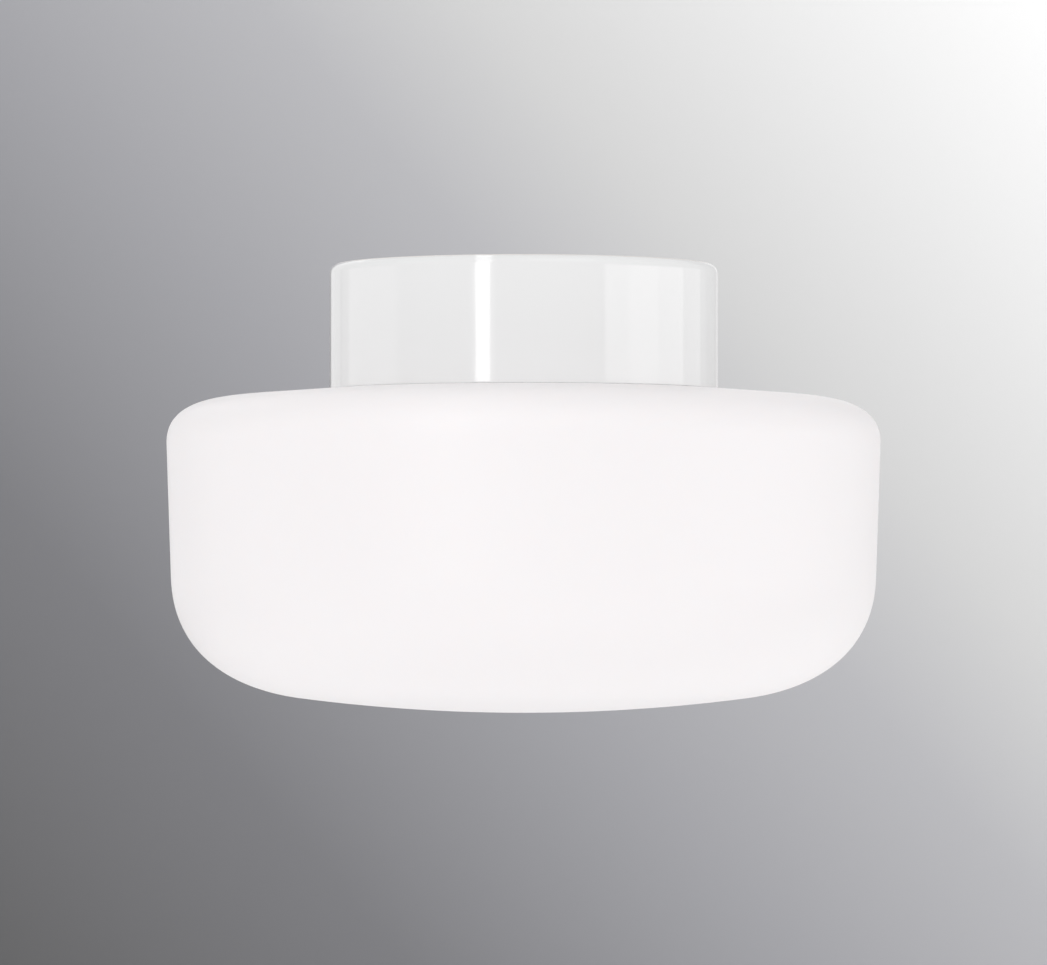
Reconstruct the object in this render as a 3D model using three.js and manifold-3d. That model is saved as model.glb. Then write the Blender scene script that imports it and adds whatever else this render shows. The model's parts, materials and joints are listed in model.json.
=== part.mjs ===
// Ceiling and wall lamp: a glazed porcelain base with a drum shade of opal glass that screws into it.
// Millimetres, +Z up. The mounting face is the plane z = 0 and the lamp hangs below it.
import * as THREE from "three";
import { mergeVertices } from "three/addons/utils/BufferGeometryUtils.js";
import Module from "manifold-3d";

const wasm = await Module();
wasm.setup();

// Facets
const circleSteps = 36; // round the base, the shade and their seals
const middleSteps = 18; // round the lampholder, the grommets and the bulb
const threadSteps = 16; // round the small screw thread
const smallSteps = 8; // round screws, nuts and holes
const leadSteps = 13; // along a lead
const leadSides = 6;
const threadRows = 4; // rows to one pitch of the small thread

// Clearances
const seatGap = 0.3; // between two pieces that seat on each other
const overrun = 1; // how far a cutter passes the face that it opens
const sameSpot = 1e-4; // points nearer than this are one

// Shade, in blown opal glass
const shadeRadius = 117.5;
const shadeWall = 3.5;
const shadeSeatWidth = 12; // flat ring round the neck that the gasket and the rim stand over
const shoulderReach = 22.7; // from where the top starts to roll over, out to the widest point
const shoulderDrop = 15.6;
const topFall = 2.1; // how far the top slopes down from the seat to the shoulder
const wallHeight = 44.2;
const wallTaper = 1.5;
const cornerReach = 42.5;
const cornerDrop = 39.4;
const domeSag = 4.8;
const neckRadius = 52.4;
const neckHeight = 13.5;
const neckRootFillet = 2;
const shoulderPullShares = [0.6, 0.68]; // how far each end of the shoulder curve keeps its direction
const cornerPullShares = [0.63, 0.53];

// Screw thread between the neck and the base
const neckPitch = 7;
const neckRidgeTurns = 1;
const neckRidgeHeight = 2.5;
const neckRidgeRootWidth = 4.4;
const neckRidgeCrestWidth = 2.2;
const neckRidgeTopInset = 2.5; // from the end of the neck to the middle of the ridge's upper end
const neckRidgeBite = 1; // how deep the ridge's root lies in the neck's wall
const neckClearance = 0.8; // radial, between neck and collar, and between ridge and groove
const neckFlankClearance = 0.5;
const grooveLeadInTurns = 0.8; // the groove runs on past the ridge and out at the mouth
const grooveEndTurns = 0.06;
const ridgeFadeTurns = 0.08;
const ridgeEndShare = 0.1; // of the ridge's height, left at its very ends

// Base, in glazed porcelain
const baseHeight = 41.1;
const collarThickness = 10.8; // from the collar's bore out to the side of the base
const baseWall = 7;
const rimGap = 0.4; // between the base's rim and the shade
const baseEdgeFillet = 3;
const rimFillet = 1;
const collarHeight = 13;
const collarSlope = 3.8; // height of the slope from the collar's end out to the wall
const floorThickness = 6.5;
const floorFillet = 4;
const backRecess = 3.5;
const footRingWidth = 12;
const ribWidth = 18;
const bossRadius = 5.5;
const bossHeight = 2;
const slotOffset = 36; // from the axis to the middle of each fixing slot
const slotLength = 11;
const slotWidth = 5.5;

// Seals
const gasketSeatDepth = 2.6; // rebate in the rim that hides the shade's gasket
const gasketWidth = 5;
const wallGasketInset = 5; // from the side of the base to the groove in the foot ring
const wallGasketGrooveWidth = 4;
const wallGasketGrooveDepth = 2;

// Cable grommet and blanking plug
const entryInset = 20; // from the inside of the wall to the middle of a cable entry
const entryRadius = 9;
const entryFlangeRadius = 11.3;
const entryFlangeThickness = 2;
const entryConeHeight = 4;
const entryTipRadius = 6;
const entryBoreRadius = 4.2;
const entryPlugDish = 2.5;

// Lampholder, with an Edison screw 27 mm across
const capThreadRadius = 13.1;
const capThreadDepth = 1.1;
const capPitch = 3.629;
const capThreadClearance = 0.45;
const shellWall = 0.75; // outside the thread's widest turn
const shellLength = 18.5;
const shellFlangeReach = 3.5; // how far the flange at the inner end reaches in
const shellFlangeThickness = 0.8;
const holderWall = 5.9;
const holderHeight = 35;
const holderFloor = 10;
const holderLedge = 1.2; // the shell's flange seats on this ledge, over the contacts
const holderWaistInset = 2.5;
const holderWaistHeight = 12.5;
const holderMouthFlare = 1.4;
const holderMouthDepth = 4.7;
const holderEdge = 1.5;
const holderScrewOffset = 8;
const holderScrewHeadDepth = 2.8;

// Contacts and their terminals on the lampholder
const stripWidth = 5;
const stripThickness = 0.6;
const stripOffset = 13.4; // from the axis to the inner face of the strip's tab
const pocketWidth = 10.4;
const pocketDepth = 7;
const tabTopInset = 1.4;
const contactReach = 5.8; // how far the live contact's foot runs in towards the axis
const neutralReach = 2.8;
const terminalHeadRise = 1.8; // the lead's conductor lies under the screw's head
const reliefDepth = 2;
const springThickness = 0.5;
const springRoot = 12; // from the axis to the spring's riveted end
const springBend = 8.5; // from the axis to the bend that it flexes at
const springTipHalf = 3;
const springRise = 0.6;
const springCurl = 1.5;

// Bracket
const bracketThickness = 1.5;
const bracketWidth = 14;
const bracketStep = 1.5;
const bracketScrewReach = 8.5; // from the side of the lampholder to a bracket screw
const bracketFootEnd = 6; // past a bracket screw
const bracketSlope = 3; // length of the joggle beside each foot
const earthReach = 9; // from one bracket screw out to the earth screw

// Terminal block
const blockGap = 7;
const blockWidth = 16;
const blockHeight = 15;
const blockSlab = 5;
const polePitch = 10;
const towerWidth = 8.2;
const towerChamfer = 1.2;
const sleeveRadius = 2.5;
const sleeveBoreRadius = 1.5;
const sleeveInset = 1;
const sleeveDrop = 6.7; // from the foot of the block to the middle of a sleeve
const poleScrewOffset = 4;
const blockScrewHead = 2.1; // fits between two sleeves

// Screws and nuts: the radius of each shank and of each head, and the height of each head
const machineShank = 1.9;
const machineHead = 3.6;
const machineHeadHeight = 2.4;
const smallShank = 1.5;
const smallHead = 2.8;
const smallHeadHeight = 1.7;
const clampShank = 1.25;
const clampHead = 1.9;
const clampHeadHeight = 2;
const driverSlotWidth = 0.8;
const driverSlotDepth = 0.9;
const headCrownShare = 0.8; // how wide the flat of a head is, of the head
const nutRadiusShare = 2.1; // of the shank's radius
const nutHeightShare = 1.4;
const earthShankPast = 1; // how far the earth screw's end passes the bracket

// Leads
const leadRadius = 1.2;
const conductorRadius = 0.6;
const bareEnd = 4.6;
const bareTerminal = 6.6;

// Bulb
const bulbRadius = 27.5;
const bulbWall = 1.2;
const contactRadius = 4.5;
const contactHeight = 1.1;
const insulatorHeight = 3; // the cone that shows between contact and cap
const insulatorPlug = 4.8;
const capWall = 0.7;
const capThreadLength = 16.8;
const capSkirtLength = 4.2;
const housingCollarRadius = 14.6;
const housingCollarHeight = 3;
const housingHeight = 29;
const housingRim = 2.4;
const diffuserHeight = 41;
const diffuserSideHeight = 10;
const ovalPullShare = 0.552; // makes the end of the diffuser a half oval

// What follows from the sizes above
const collarBore = neckRadius + neckClearance;
const baseRadius = collarBore + collarThickness;
const cavityRadius = baseRadius - baseWall;
const seatZ = -baseHeight - rimGap;
const neckTopZ = seatZ + neckHeight;
const rebateZ = -baseHeight + gasketSeatDepth;
const gasketInner = neckRadius + neckRidgeHeight + seatGap;
const gasketOuter = gasketInner + gasketWidth;
const floorZ = -backRecess - floorThickness;
const bossZ = floorZ - bossHeight;
const bracketTopZ = bossZ - seatGap;
const footBottomZ = bracketTopZ - bracketThickness;
const platformBottomZ = footBottomZ - bracketStep;
const holderBackZ = platformBottomZ - seatGap;
const holderFloorZ = holderBackZ - holderFloor;
const ledgeZ = holderFloorZ - holderLedge;
const holderMouthZ = holderBackZ - holderHeight;
const shellTopZ = ledgeZ - seatGap;
const shellBottomZ = shellTopZ - shellLength;
const shellRadius = capThreadRadius + capThreadClearance + shellWall;
const holderBore = shellRadius + seatGap;
const holderRadius = holderBore + holderWall;
const holderWaist = holderRadius - holderWaistInset;
const stripFootZ = ledgeZ + stripThickness; // upper face of a strip's foot, which is flush with the ledge
const springBackZ = ledgeZ - seatGap;
const bulbTipZ = springBackZ - springRise - springThickness - seatGap;
const bracketScrewX = holderRadius + bracketScrewReach;
const earthX = -bracketScrewX - earthReach;
const entryOffset = cavityRadius - entryInset;
const blockY = holderRadius + blockGap + blockWidth / 2;
const blockTopZ = floorZ - seatGap;
const blockBottomZ = blockTopZ - blockHeight;
const sleeveZ = blockTopZ - sleeveDrop;
const blockScrewX = polePitch / 2;
const fittingsTurn = THREE.MathUtils.degToRad(47); // the bracket runs between the slots and the entries
const footRingInner = baseRadius - footRingWidth;
const neckRidgeTopZ = neckTopZ - neckRidgeTopInset;
const neckRidgeLowZ = neckRidgeTopZ - neckRidgeTurns * neckPitch;
const tau = 2 * Math.PI;

// Outlines, as lists of points with x away from the axis and y along it
const at = (x, y) => new THREE.Vector2(x, y);

const bend = (start, pullStart, pullEnd, end, steps) =>
  new THREE.CubicBezierCurve(start, pullStart, pullEnd, end).getPoints(steps);

function arc(x, y, radius, from, to, steps) {
  return Array.from({ length: steps + 1 }, (_, i) => {
    const angle = (Math.PI / 180) * (from + ((to - from) * i) / steps);
    return at(x + radius * Math.cos(angle), y + radius * Math.sin(angle));
  });
}

const chain = (...runs) => runs.flat().filter((p, i, all) => !i || p.distanceTo(all[i - 1]) > sameSpot);

// Each point of an open outline, moved to its right by a distance
function offset(points, distance) {
  return points.map((p, i) => {
    const before = points[Math.max(i - 1, 0)];
    const after = points[Math.min(i + 1, points.length - 1)];
    const first = p.clone().sub(before).normalize();
    const second = after.clone().sub(p).normalize();
    const way = first.add(second).normalize();
    return at(p.x + way.y * distance, p.y - way.x * distance);
  });
}

// An outline from the rim to the axis, and back along the inside of a wall of one thickness
function shell(outer, wall) {
  const inner = offset(outer, wall).map((p) => at(Math.max(p.x, 0), p.y));
  return [...outer, ...inner.reverse(), outer[0]];
}

// Solids
function solid(geometry) {
  const bare = geometry.index ? geometry.toNonIndexed() : geometry.clone();
  for (const name of ["normal", "uv"]) bare.deleteAttribute(name);
  const merged = mergeVertices(bare, sameSpot);
  const corners = merged.index.array;
  const kept = [];
  for (let i = 0; i < corners.length; i += 3) {
    const [a, b, c] = corners.slice(i, i + 3);
    if (a !== b && b !== c && c !== a) kept.push(a, b, c);
  }
  const mesh = { numProp: 3, vertProperties: merged.attributes.position.array };
  const made = new wasm.Manifold(new wasm.Mesh({ ...mesh, triVerts: new Uint32Array(kept) }));
  if (made.volume() > 0) return made;
  const turned = kept.map((_, i) => kept[i - (i % 3) + 2 - (i % 3)]);
  return new wasm.Manifold(new wasm.Mesh({ ...mesh, triVerts: new Uint32Array(turned) }));
}

const turnedSolid = (points, steps) => solid(new THREE.LatheGeometry(points, steps).rotateX(Math.PI / 2));

function ring(inner, outer, lowZ, highZ, steps) {
  const section = [at(inner, lowZ), at(outer, lowZ), at(outer, highZ), at(inner, highZ), at(inner, lowZ)];
  return turnedSolid(section, steps);
}

const rod = (x, y, radius, lowZ, highZ, steps = smallSteps) =>
  solid(
    new THREE.CylinderGeometry(radius, radius, highZ - lowZ, steps)
      .rotateX(Math.PI / 2)
      .translate(x, y, (highZ + lowZ) / 2),
  );

// A rod along Y
const crossRod = (x, z, radius, lowY, highY, steps = smallSteps) =>
  solid(new THREE.CylinderGeometry(radius, radius, highY - lowY, steps).translate(x, (highY + lowY) / 2, z));

function box(lowX, highX, lowY, highY, lowZ, highZ) {
  const size = [highX - lowX, highY - lowY, highZ - lowZ];
  const middle = [(lowX + highX) / 2, (lowY + highY) / 2, (lowZ + highZ) / 2];
  return solid(new THREE.BoxGeometry(...size).translate(...middle));
}

// An outline in X and Y, with a rounded end of the given radius round each of its two points
function stadium(fromX, toX, radius, lowZ, highZ) {
  const shape = new THREE.Shape();
  shape.absarc(toX, 0, radius, -Math.PI / 2, Math.PI / 2, false);
  shape.absarc(fromX, 0, radius, Math.PI / 2, 1.5 * Math.PI, false);
  const options = { depth: highZ - lowZ, bevelEnabled: false, curveSegments: smallSteps / 2 };
  return solid(new THREE.ExtrudeGeometry(shape, options).translate(0, 0, lowZ));
}

// An outline in X and Z, or in Y and Z, extruded across to both sides of the middle
function plate(points, width, alongY = false) {
  const options = { depth: width, bevelEnabled: false };
  const made = new THREE.ExtrudeGeometry(new THREE.Shape(points), options).translate(0, 0, -width / 2);
  made.rotateX(Math.PI / 2);
  return solid(alongY ? made.rotateZ(Math.PI / 2) : made);
}

// An open outline made into a strip of one thickness, on its right side
const strip = (points, thickness) => [...points, ...offset(points, thickness).reverse()];

// A section, with x away from the start radius and y along the axis, swept up a right-hand helix
function helix(section, radius, pitch, lowZ, fromTurn, toTurn, fade) {
  const steps = Math.round((toTurn - fromTurn) * circleSteps);
  const positions = [];
  for (let i = 0; i <= steps; i++) {
    const turn = fromTurn + ((toTurn - fromTurn) * i) / steps;
    const fromEnd = Math.min(turn - fromTurn, toTurn - turn);
    const rise = fade ? Math.min(1, ridgeEndShare + fromEnd / fade) : 1;
    for (const p of section) {
      const reach = radius + (p.x > 0 ? p.x * rise : p.x);
      const angle = turn * tau;
      positions.push(reach * Math.cos(angle), reach * Math.sin(angle), lowZ + pitch * turn + p.y);
    }
  }
  const count = section.length;
  const corners = [];
  for (let i = 0; i < steps; i++)
    for (let j = 0; j < count; j++) {
      const a = i * count + j;
      const b = i * count + ((j + 1) % count);
      corners.push(a, b, b + count, a, b + count, a + count);
    }
  const last = steps * count;
  for (let j = 1; j < count - 1; j++) {
    corners.push(0, j + 1, j);
    corners.push(last, last + j, last + j + 1);
  }
  const geometry = new THREE.BufferGeometry();
  geometry.setAttribute("position", new THREE.Float32BufferAttribute(positions, 3));
  return solid(geometry.setIndex(corners));
}

// A round bar whose radius at an angle and a height comes from a function
function shapedRod(radiusAt, heights, steps) {
  const positions = [];
  for (const z of heights)
    for (let j = 0; j < steps; j++) {
      const angle = (j / steps) * tau;
      const radius = radiusAt(angle, z);
      positions.push(radius * Math.cos(angle), radius * Math.sin(angle), z);
    }
  const low = positions.length / 3;
  positions.push(0, 0, heights[0], 0, 0, heights.at(-1));
  const corners = [];
  for (let j = 0; j < steps; j++) {
    const next = (j + 1) % steps;
    for (let i = 0; i < heights.length - 1; i++) {
      const row = i * steps;
      corners.push(row + j, row + next, row + steps + next, row + j, row + steps + next, row + steps + j);
    }
    const top = (heights.length - 1) * steps;
    corners.push(low, next, j, low + 1, top + j, top + next);
  }
  const geometry = new THREE.BufferGeometry();
  geometry.setAttribute("position", new THREE.Float32BufferAttribute(positions, 3));
  return solid(geometry.setIndex(corners));
}

// Materials
const finish = (color, roughness, metalness = 0) =>
  new THREE.MeshStandardMaterial({ color, roughness, metalness });
const glaze = finish(0xeeeeec, 0.12);
const opal = finish(0xf8f4f4, 0.5);
const ceramic = finish(0xe6e1d6, 0.45);
const whiteSilicone = finish(0xd9d9d5, 0.75);
const blackRubber = finish(0x26272a, 0.8);
const zincSteel = finish(0xb9bcc0, 0.35, 1);
const nickel = finish(0xc9c5bb, 0.25, 1);
const brass = finish(0xc8a24d, 0.3, 1);
const blockPlastic = finish(0xe9e6da, 0.5);
const bulbPlastic = finish(0xf0f0ee, 0.35);
const bulbDiffuserPlastic = finish(0xf6f4ee, 0.45);
const blackGlass = finish(0x17171a, 0.2);
const brownInsulation = finish(0x6b3f26, 0.55);
const blueInsulation = finish(0x2f63a8, 0.55);
const greenInsulation = finish(0x7fa02a, 0.55);

const lamp = new THREE.Group();
const fittings = new THREE.Group();
fittings.rotation.z = fittingsTurn;
lamp.add(fittings);

function put(group, name, made, material) {
  const { numProp, vertProperties, triVerts } = made.getMesh();
  const positions = [];
  for (let i = 0; i < vertProperties.length; i += numProp) positions.push(...vertProperties.slice(i, i + 3));
  const geometry = new THREE.BufferGeometry();
  geometry.setAttribute("position", new THREE.Float32BufferAttribute(positions, 3));
  geometry.setIndex([...triVerts]).computeVertexNormals();
  const mesh = new THREE.Mesh(geometry, material);
  mesh.name = name;
  group.add(mesh);
  return mesh;
}

// Neck thread: one trapezoid section serves the ridge on the glass and, grown, the groove in the collar
function threadSection(from, to, clearance, bite) {
  const half = (height) => {
    const share = height / neckRidgeHeight;
    return (neckRidgeRootWidth * (1 - share) + neckRidgeCrestWidth * share) / 2 + clearance;
  };
  return [
    at(-bite, -half(from)),
    at(0, -half(from)),
    at(to - from, -half(to)),
    at(to - from, half(to)),
    at(0, half(from)),
    at(-bite, half(from)),
  ];
}

function glassShade() {
  const seatRadius = neckRadius + shadeSeatWidth;
  const shoulderRadius = shadeRadius - shoulderReach;
  const shoulderZ = seatZ - topFall;
  const widestZ = shoulderZ - shoulderDrop;
  const footRadius = shadeRadius - wallTaper;
  const footZ = widestZ - wallHeight;
  const domeRadius = footRadius - cornerReach;
  const domeZ = footZ - cornerDrop;
  const bottomZ = domeZ - domeSag;
  const topSlope = topFall / (shoulderRadius - seatRadius);
  const domeSlope = (2 * domeSag) / domeRadius;
  const taperSlope = wallTaper / wallHeight;
  const [shoulderPull, wallPull] = shoulderPullShares;
  const [cornerPull, domePull] = cornerPullShares;
  const shoulder = bend(
    at(shoulderRadius, shoulderZ),
    at(shoulderRadius + shoulderPull * shoulderReach, shoulderZ - shoulderPull * shoulderReach * topSlope),
    at(shadeRadius + wallPull * shoulderDrop * taperSlope, widestZ + wallPull * shoulderDrop),
    at(shadeRadius, widestZ),
    5,
  );
  const corner = bend(
    at(footRadius, footZ),
    at(footRadius - cornerPull * cornerDrop * taperSlope, footZ - cornerPull * cornerDrop),
    at(domeRadius + domePull * cornerReach, domeZ + domePull * cornerReach * domeSlope),
    at(domeRadius, domeZ),
    6,
  );
  const dome = new THREE.QuadraticBezierCurve(
    at(domeRadius, domeZ),
    at(domeRadius / 2, bottomZ),
    at(0, bottomZ),
  ).getPoints(3);
  const outer = chain(
    [at(neckRadius, neckTopZ)],
    arc(neckRadius + neckRootFillet, seatZ + neckRootFillet, neckRootFillet, 180, 270, 2),
    [at(seatRadius, seatZ)],
    shoulder,
    corner,
    dome,
  );
  const wall = turnedSolid(shell(outer, shadeWall), circleSteps);
  const section = threadSection(0, neckRidgeHeight, 0, neckRidgeBite);
  const ridge = helix(section, neckRadius, neckPitch, neckRidgeLowZ, 0, neckRidgeTurns, ridgeFadeTurns);
  return wall.add(ridge);
}

function porcelainBase() {
  const gasketGrooveOuter = baseRadius - wallGasketInset;
  const gasketGrooveInner = gasketGrooveOuter - wallGasketGrooveWidth;
  const rebateRadius = gasketOuter + seatGap;
  const collarTopZ = rebateZ + collarHeight;
  const cup = turnedSolid(
    chain(
      [at(0, -backRecess), at(footRingInner, -backRecess), at(footRingInner, 0), at(gasketGrooveInner, 0)],
      [at(gasketGrooveInner, -wallGasketGrooveDepth), at(gasketGrooveOuter, -wallGasketGrooveDepth)],
      [at(gasketGrooveOuter, 0)],
      arc(baseRadius - baseEdgeFillet, -baseEdgeFillet, baseEdgeFillet, 90, 0, 3),
      arc(baseRadius - rimFillet, -baseHeight + rimFillet, rimFillet, 0, -90, 2),
      [at(rebateRadius, -baseHeight), at(rebateRadius, rebateZ), at(collarBore, rebateZ)],
      [at(collarBore, collarTopZ), at(cavityRadius, collarTopZ + collarSlope)],
      arc(cavityRadius - floorFillet, floorZ - floorFillet, floorFillet, 0, 90, 2),
      [at(0, floorZ)],
    ),
    circleSteps,
  );
  const ribEnd = footRingInner + seatGap;
  let base = cup.add(box(-ribEnd, ribEnd, -ribWidth / 2, ribWidth / 2, -backRecess - overrun, 0));
  const bossPlaces = [
    [bracketScrewX, 0, machineShank],
    [-bracketScrewX, 0, machineShank],
  ];
  const turn = THREE.MathUtils.radToDeg(fittingsTurn);
  for (const [x, y] of bossPlaces)
    base = base.add(rod(x, y, bossRadius, bossZ, floorZ + overrun, 2 * smallSteps).rotate([0, 0, turn]));
  for (const [x, y, shank] of [...bossPlaces, [blockScrewX, blockY, smallShank]]) {
    const hole = rod(x, y, shank + seatGap, bossZ - overrun, overrun);
    base = base.subtract(hole.rotate([0, 0, turn]));
  }
  for (const side of [-1, 1]) {
    const middle = side * slotOffset;
    const reach = (slotLength - slotWidth) / 2;
    base = base.subtract(stadium(middle - reach, middle + reach, slotWidth / 2, floorZ - overrun, overrun));
    base = base.subtract(rod(0, side * entryOffset, entryRadius, floorZ - overrun, overrun, middleSteps));
  }
  const section = threadSection(
    neckClearance,
    neckRidgeHeight + neckClearance,
    neckFlankClearance,
    overrun,
  );
  const turns = [-grooveLeadInTurns, neckRidgeTurns + grooveEndTurns];
  return base.subtract(helix(section, collarBore, neckPitch, neckRidgeLowZ, ...turns, 0));
}

function wallGasket() {
  const outer = baseRadius - wallGasketInset - seatGap;
  const inner = outer - wallGasketGrooveWidth + 2 * seatGap;
  return ring(inner, outer, -wallGasketGrooveDepth + seatGap, 0, circleSteps);
}

const shadeGasket = () => ring(gasketInner, gasketOuter, seatZ + seatGap, rebateZ - seatGap, circleSteps);

// The grommet has a bore for the cable, and the blanking plug is dished instead
function entrySeal(open) {
  const waist = entryRadius - seatGap;
  const outerZ = -backRecess + seatGap;
  const innerZ = floorZ - seatGap;
  const flangeZ = innerZ - entryFlangeThickness;
  const tipZ = flangeZ - entryConeHeight;
  const sides = [
    at(entryFlangeRadius, outerZ + entryFlangeThickness),
    at(entryFlangeRadius, outerZ),
    at(waist, outerZ),
    at(waist, innerZ),
    at(entryFlangeRadius, innerZ),
    at(entryFlangeRadius, flangeZ),
  ];
  const backZ = outerZ + entryFlangeThickness;
  const openEnd = [at(entryBoreRadius, backZ)];
  const plugEnd = [at(0, backZ - entryPlugDish), at(entryTipRadius, backZ - entryPlugDish)];
  const tip = open
    ? [at(entryTipRadius, tipZ), at(entryBoreRadius, tipZ), at(entryBoreRadius, backZ)]
    : [at(entryTipRadius, flangeZ), at(0, flangeZ)];
  const rise = open ? [] : [at(entryTipRadius, backZ)];
  return turnedSolid(chain(open ? openEnd : plugEnd, rise, sides, tip), middleSteps);
}

// A slotted screw with its head down at headZ and its end up at endZ
function screw(x, y, shank, head, headHeight, headZ, endZ) {
  const lowZ = headZ - headHeight;
  const crown = [at(0, lowZ), at(headCrownShare * head, lowZ), at(head, headZ - headHeight / 2)];
  const shaft = [at(head, headZ), at(shank, headZ), at(shank, endZ), at(0, endZ)];
  const made = turnedSolid([...crown, ...shaft], smallSteps);
  const half = driverSlotWidth / 2;
  const slot = box(-head, head, -half, half, lowZ - overrun, lowZ + driverSlotDepth);
  return made.subtract(slot).translate([x, y, 0]);
}

function nut(x, y, shank) {
  const lowZ = -backRecess + seatGap;
  const highZ = lowZ + nutHeightShare * shank;
  const blank = rod(x, y, nutRadiusShare * shank, lowZ, highZ, 6);
  return blank.subtract(rod(x, y, shank + seatGap, lowZ - overrun, highZ + overrun));
}

function lampholderBracket() {
  const bendX = bracketScrewX - bracketFootEnd - bracketSlope;
  const footX = bracketScrewX - bracketFootEnd;
  const farX = -earthX + bracketFootEnd;
  const nearX = bracketScrewX + bracketFootEnd;
  const steppedZ = bracketTopZ - bracketStep;
  const upper = [
    at(-farX, bracketTopZ),
    at(-footX, bracketTopZ),
    at(-bendX, steppedZ),
    at(bendX, steppedZ),
    at(footX, bracketTopZ),
    at(nearX, bracketTopZ),
  ];
  const lower = upper.map((p) => at(p.x, p.y - bracketThickness)).reverse();
  const strap = plate([...upper, ...lower], bracketWidth);
  const half = bracketWidth / 2;
  let made = strap.intersect(stadium(-farX + half, nearX - half, half, holderBackZ, bossZ));
  const holes = [
    [bracketScrewX, machineShank],
    [-bracketScrewX, machineShank],
    [holderScrewOffset, smallShank],
    [-holderScrewOffset, smallShank],
    [earthX, smallShank],
  ];
  for (const [x, shank] of holes)
    made = made.subtract(rod(x, 0, shank + seatGap, holderBackZ - overrun, bossZ + overrun));
  return made;
}

function lampholderBody() {
  const mouthBore = holderBore + holderMouthFlare;
  const waistZ = holderBackZ - holderWaistHeight;
  let body = turnedSolid(
    chain(
      [at(0, holderBackZ), at(holderWaist, holderBackZ), at(holderWaist, waistZ)],
      [at(holderRadius, waistZ - holderWaistInset)],
      arc(holderRadius - holderEdge, holderMouthZ + holderEdge, holderEdge, 0, -90, 3),
      [at(mouthBore, holderMouthZ), at(mouthBore, holderMouthZ + holderMouthDepth)],
      [at(holderBore, holderMouthZ + holderMouthDepth + holderMouthFlare), at(holderBore, ledgeZ)],
      [at(shellRadius - shellFlangeReach, ledgeZ), at(shellRadius - shellFlangeReach, holderFloorZ)],
      [at(0, holderFloorZ)],
    ),
    middleSteps,
  );
  const pocketZ = holderBackZ - pocketDepth;
  const slotHalf = stripWidth / 2 + seatGap;
  for (const side of [-1, 1]) {
    const near = stripOffset - seatGap;
    const far = stripOffset + stripThickness + seatGap;
    const cuts = [
      box(-pocketWidth / 2, pocketWidth / 2, near, holderRadius + overrun, pocketZ, holderBackZ + overrun),
      box(-slotHalf, slotHalf, near, far, ledgeZ - seatGap, pocketZ + overrun),
      box(-slotHalf, slotHalf, 0, far, ledgeZ - overrun, stripFootZ + seatGap),
      crossRod(0, (holderBackZ + pocketZ) / 2, smallShank + seatGap, near - reliefDepth, near + overrun),
    ];
    for (const cut of cuts) body = body.subtract(side > 0 ? cut : cut.rotate([0, 0, 180]));
    const x = side * holderScrewOffset;
    body = body.subtract(rod(x, 0, smallShank + seatGap, ledgeZ - overrun, holderBackZ + overrun));
    const headZ = holderFloorZ + holderScrewHeadDepth;
    body = body.subtract(rod(x, 0, smallHead + seatGap, ledgeZ - overrun, headZ));
  }
  return body;
}

const fade = (value, low, high, length) =>
  THREE.MathUtils.clamp(Math.min(value - low, high - value) / length, 0, 1);

const wave = (angle, z) => (1 + Math.cos((tau * z) / capPitch - angle)) / 2;

// Heights between two ends on one grid, so that a screw and its thread have the same facets
function threadHeights(low, high) {
  const row = capPitch / threadRows;
  const first = Math.floor(low / row) + 1;
  const count = Math.ceil(high / row) - first;
  const between = Array.from({ length: count }, (_, i) => (first + i) * row);
  return [low, ...between.filter((z) => z - low > row / 4 && high - z > row / 4), high];
}

function lampholderShell() {
  const flangeInner = shellRadius - shellFlangeReach;
  const widest = capThreadRadius + capThreadClearance;
  const flangeZ = shellTopZ - shellFlangeThickness;
  const radiusAt = (angle, z) => {
    const depth = capThreadDepth * fade(z, shellBottomZ, flangeZ, capPitch / 2);
    return widest - depth * (1 - wave(angle, z));
  };
  const heights = [shellBottomZ - overrun, ...threadHeights(shellBottomZ, flangeZ)];
  const thread = shapedRod(radiusAt, heights, threadSteps);
  const blank = rod(0, 0, shellRadius, shellBottomZ, shellTopZ, middleSteps);
  const eye = rod(0, 0, flangeInner, flangeZ - overrun, shellTopZ + overrun, middleSteps);
  const half = stripWidth / 2 + shellWall;
  const notch = box(-half, half, 0, shellRadius - shellWall, flangeZ - seatGap, shellTopZ + overrun);
  return blank.subtract(thread).subtract(eye).subtract(notch);
}

// A strip bent at the mouth of its slot: a tab in the pocket and a foot under the shell
function contactStrip(reach, side) {
  const outerY = stripOffset + stripThickness;
  const footZ = stripFootZ - stripThickness;
  const topZ = holderBackZ - tabTopInset;
  const outside = [at(outerY, topZ), at(outerY, footZ), at(stripOffset - reach, footZ)];
  const inside = [at(stripOffset - reach, stripFootZ), at(stripOffset, stripFootZ), at(stripOffset, topZ)];
  const tab = plate([...outside, ...inside], stripWidth, true);
  const holeZ = holderBackZ - pocketDepth / 2;
  const hole = crossRod(0, holeZ, smallShank + seatGap, stripOffset - overrun, outerY + overrun);
  const made = tab.subtract(hole);
  return side > 0 ? made : made.rotate([0, 0, 180]);
}

function contactSpring() {
  const tipZ = springBackZ - springRise;
  const backs = [
    at(springRoot, springBackZ),
    at(springBend, springBackZ),
    at(springTipHalf, tipZ),
    at(-springTipHalf, tipZ),
    at(-springTipHalf - springCurl, springBackZ - springRise / 2),
  ];
  return plate(strip(backs, -springThickness), stripWidth - 2 * seatGap, true);
}

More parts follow.
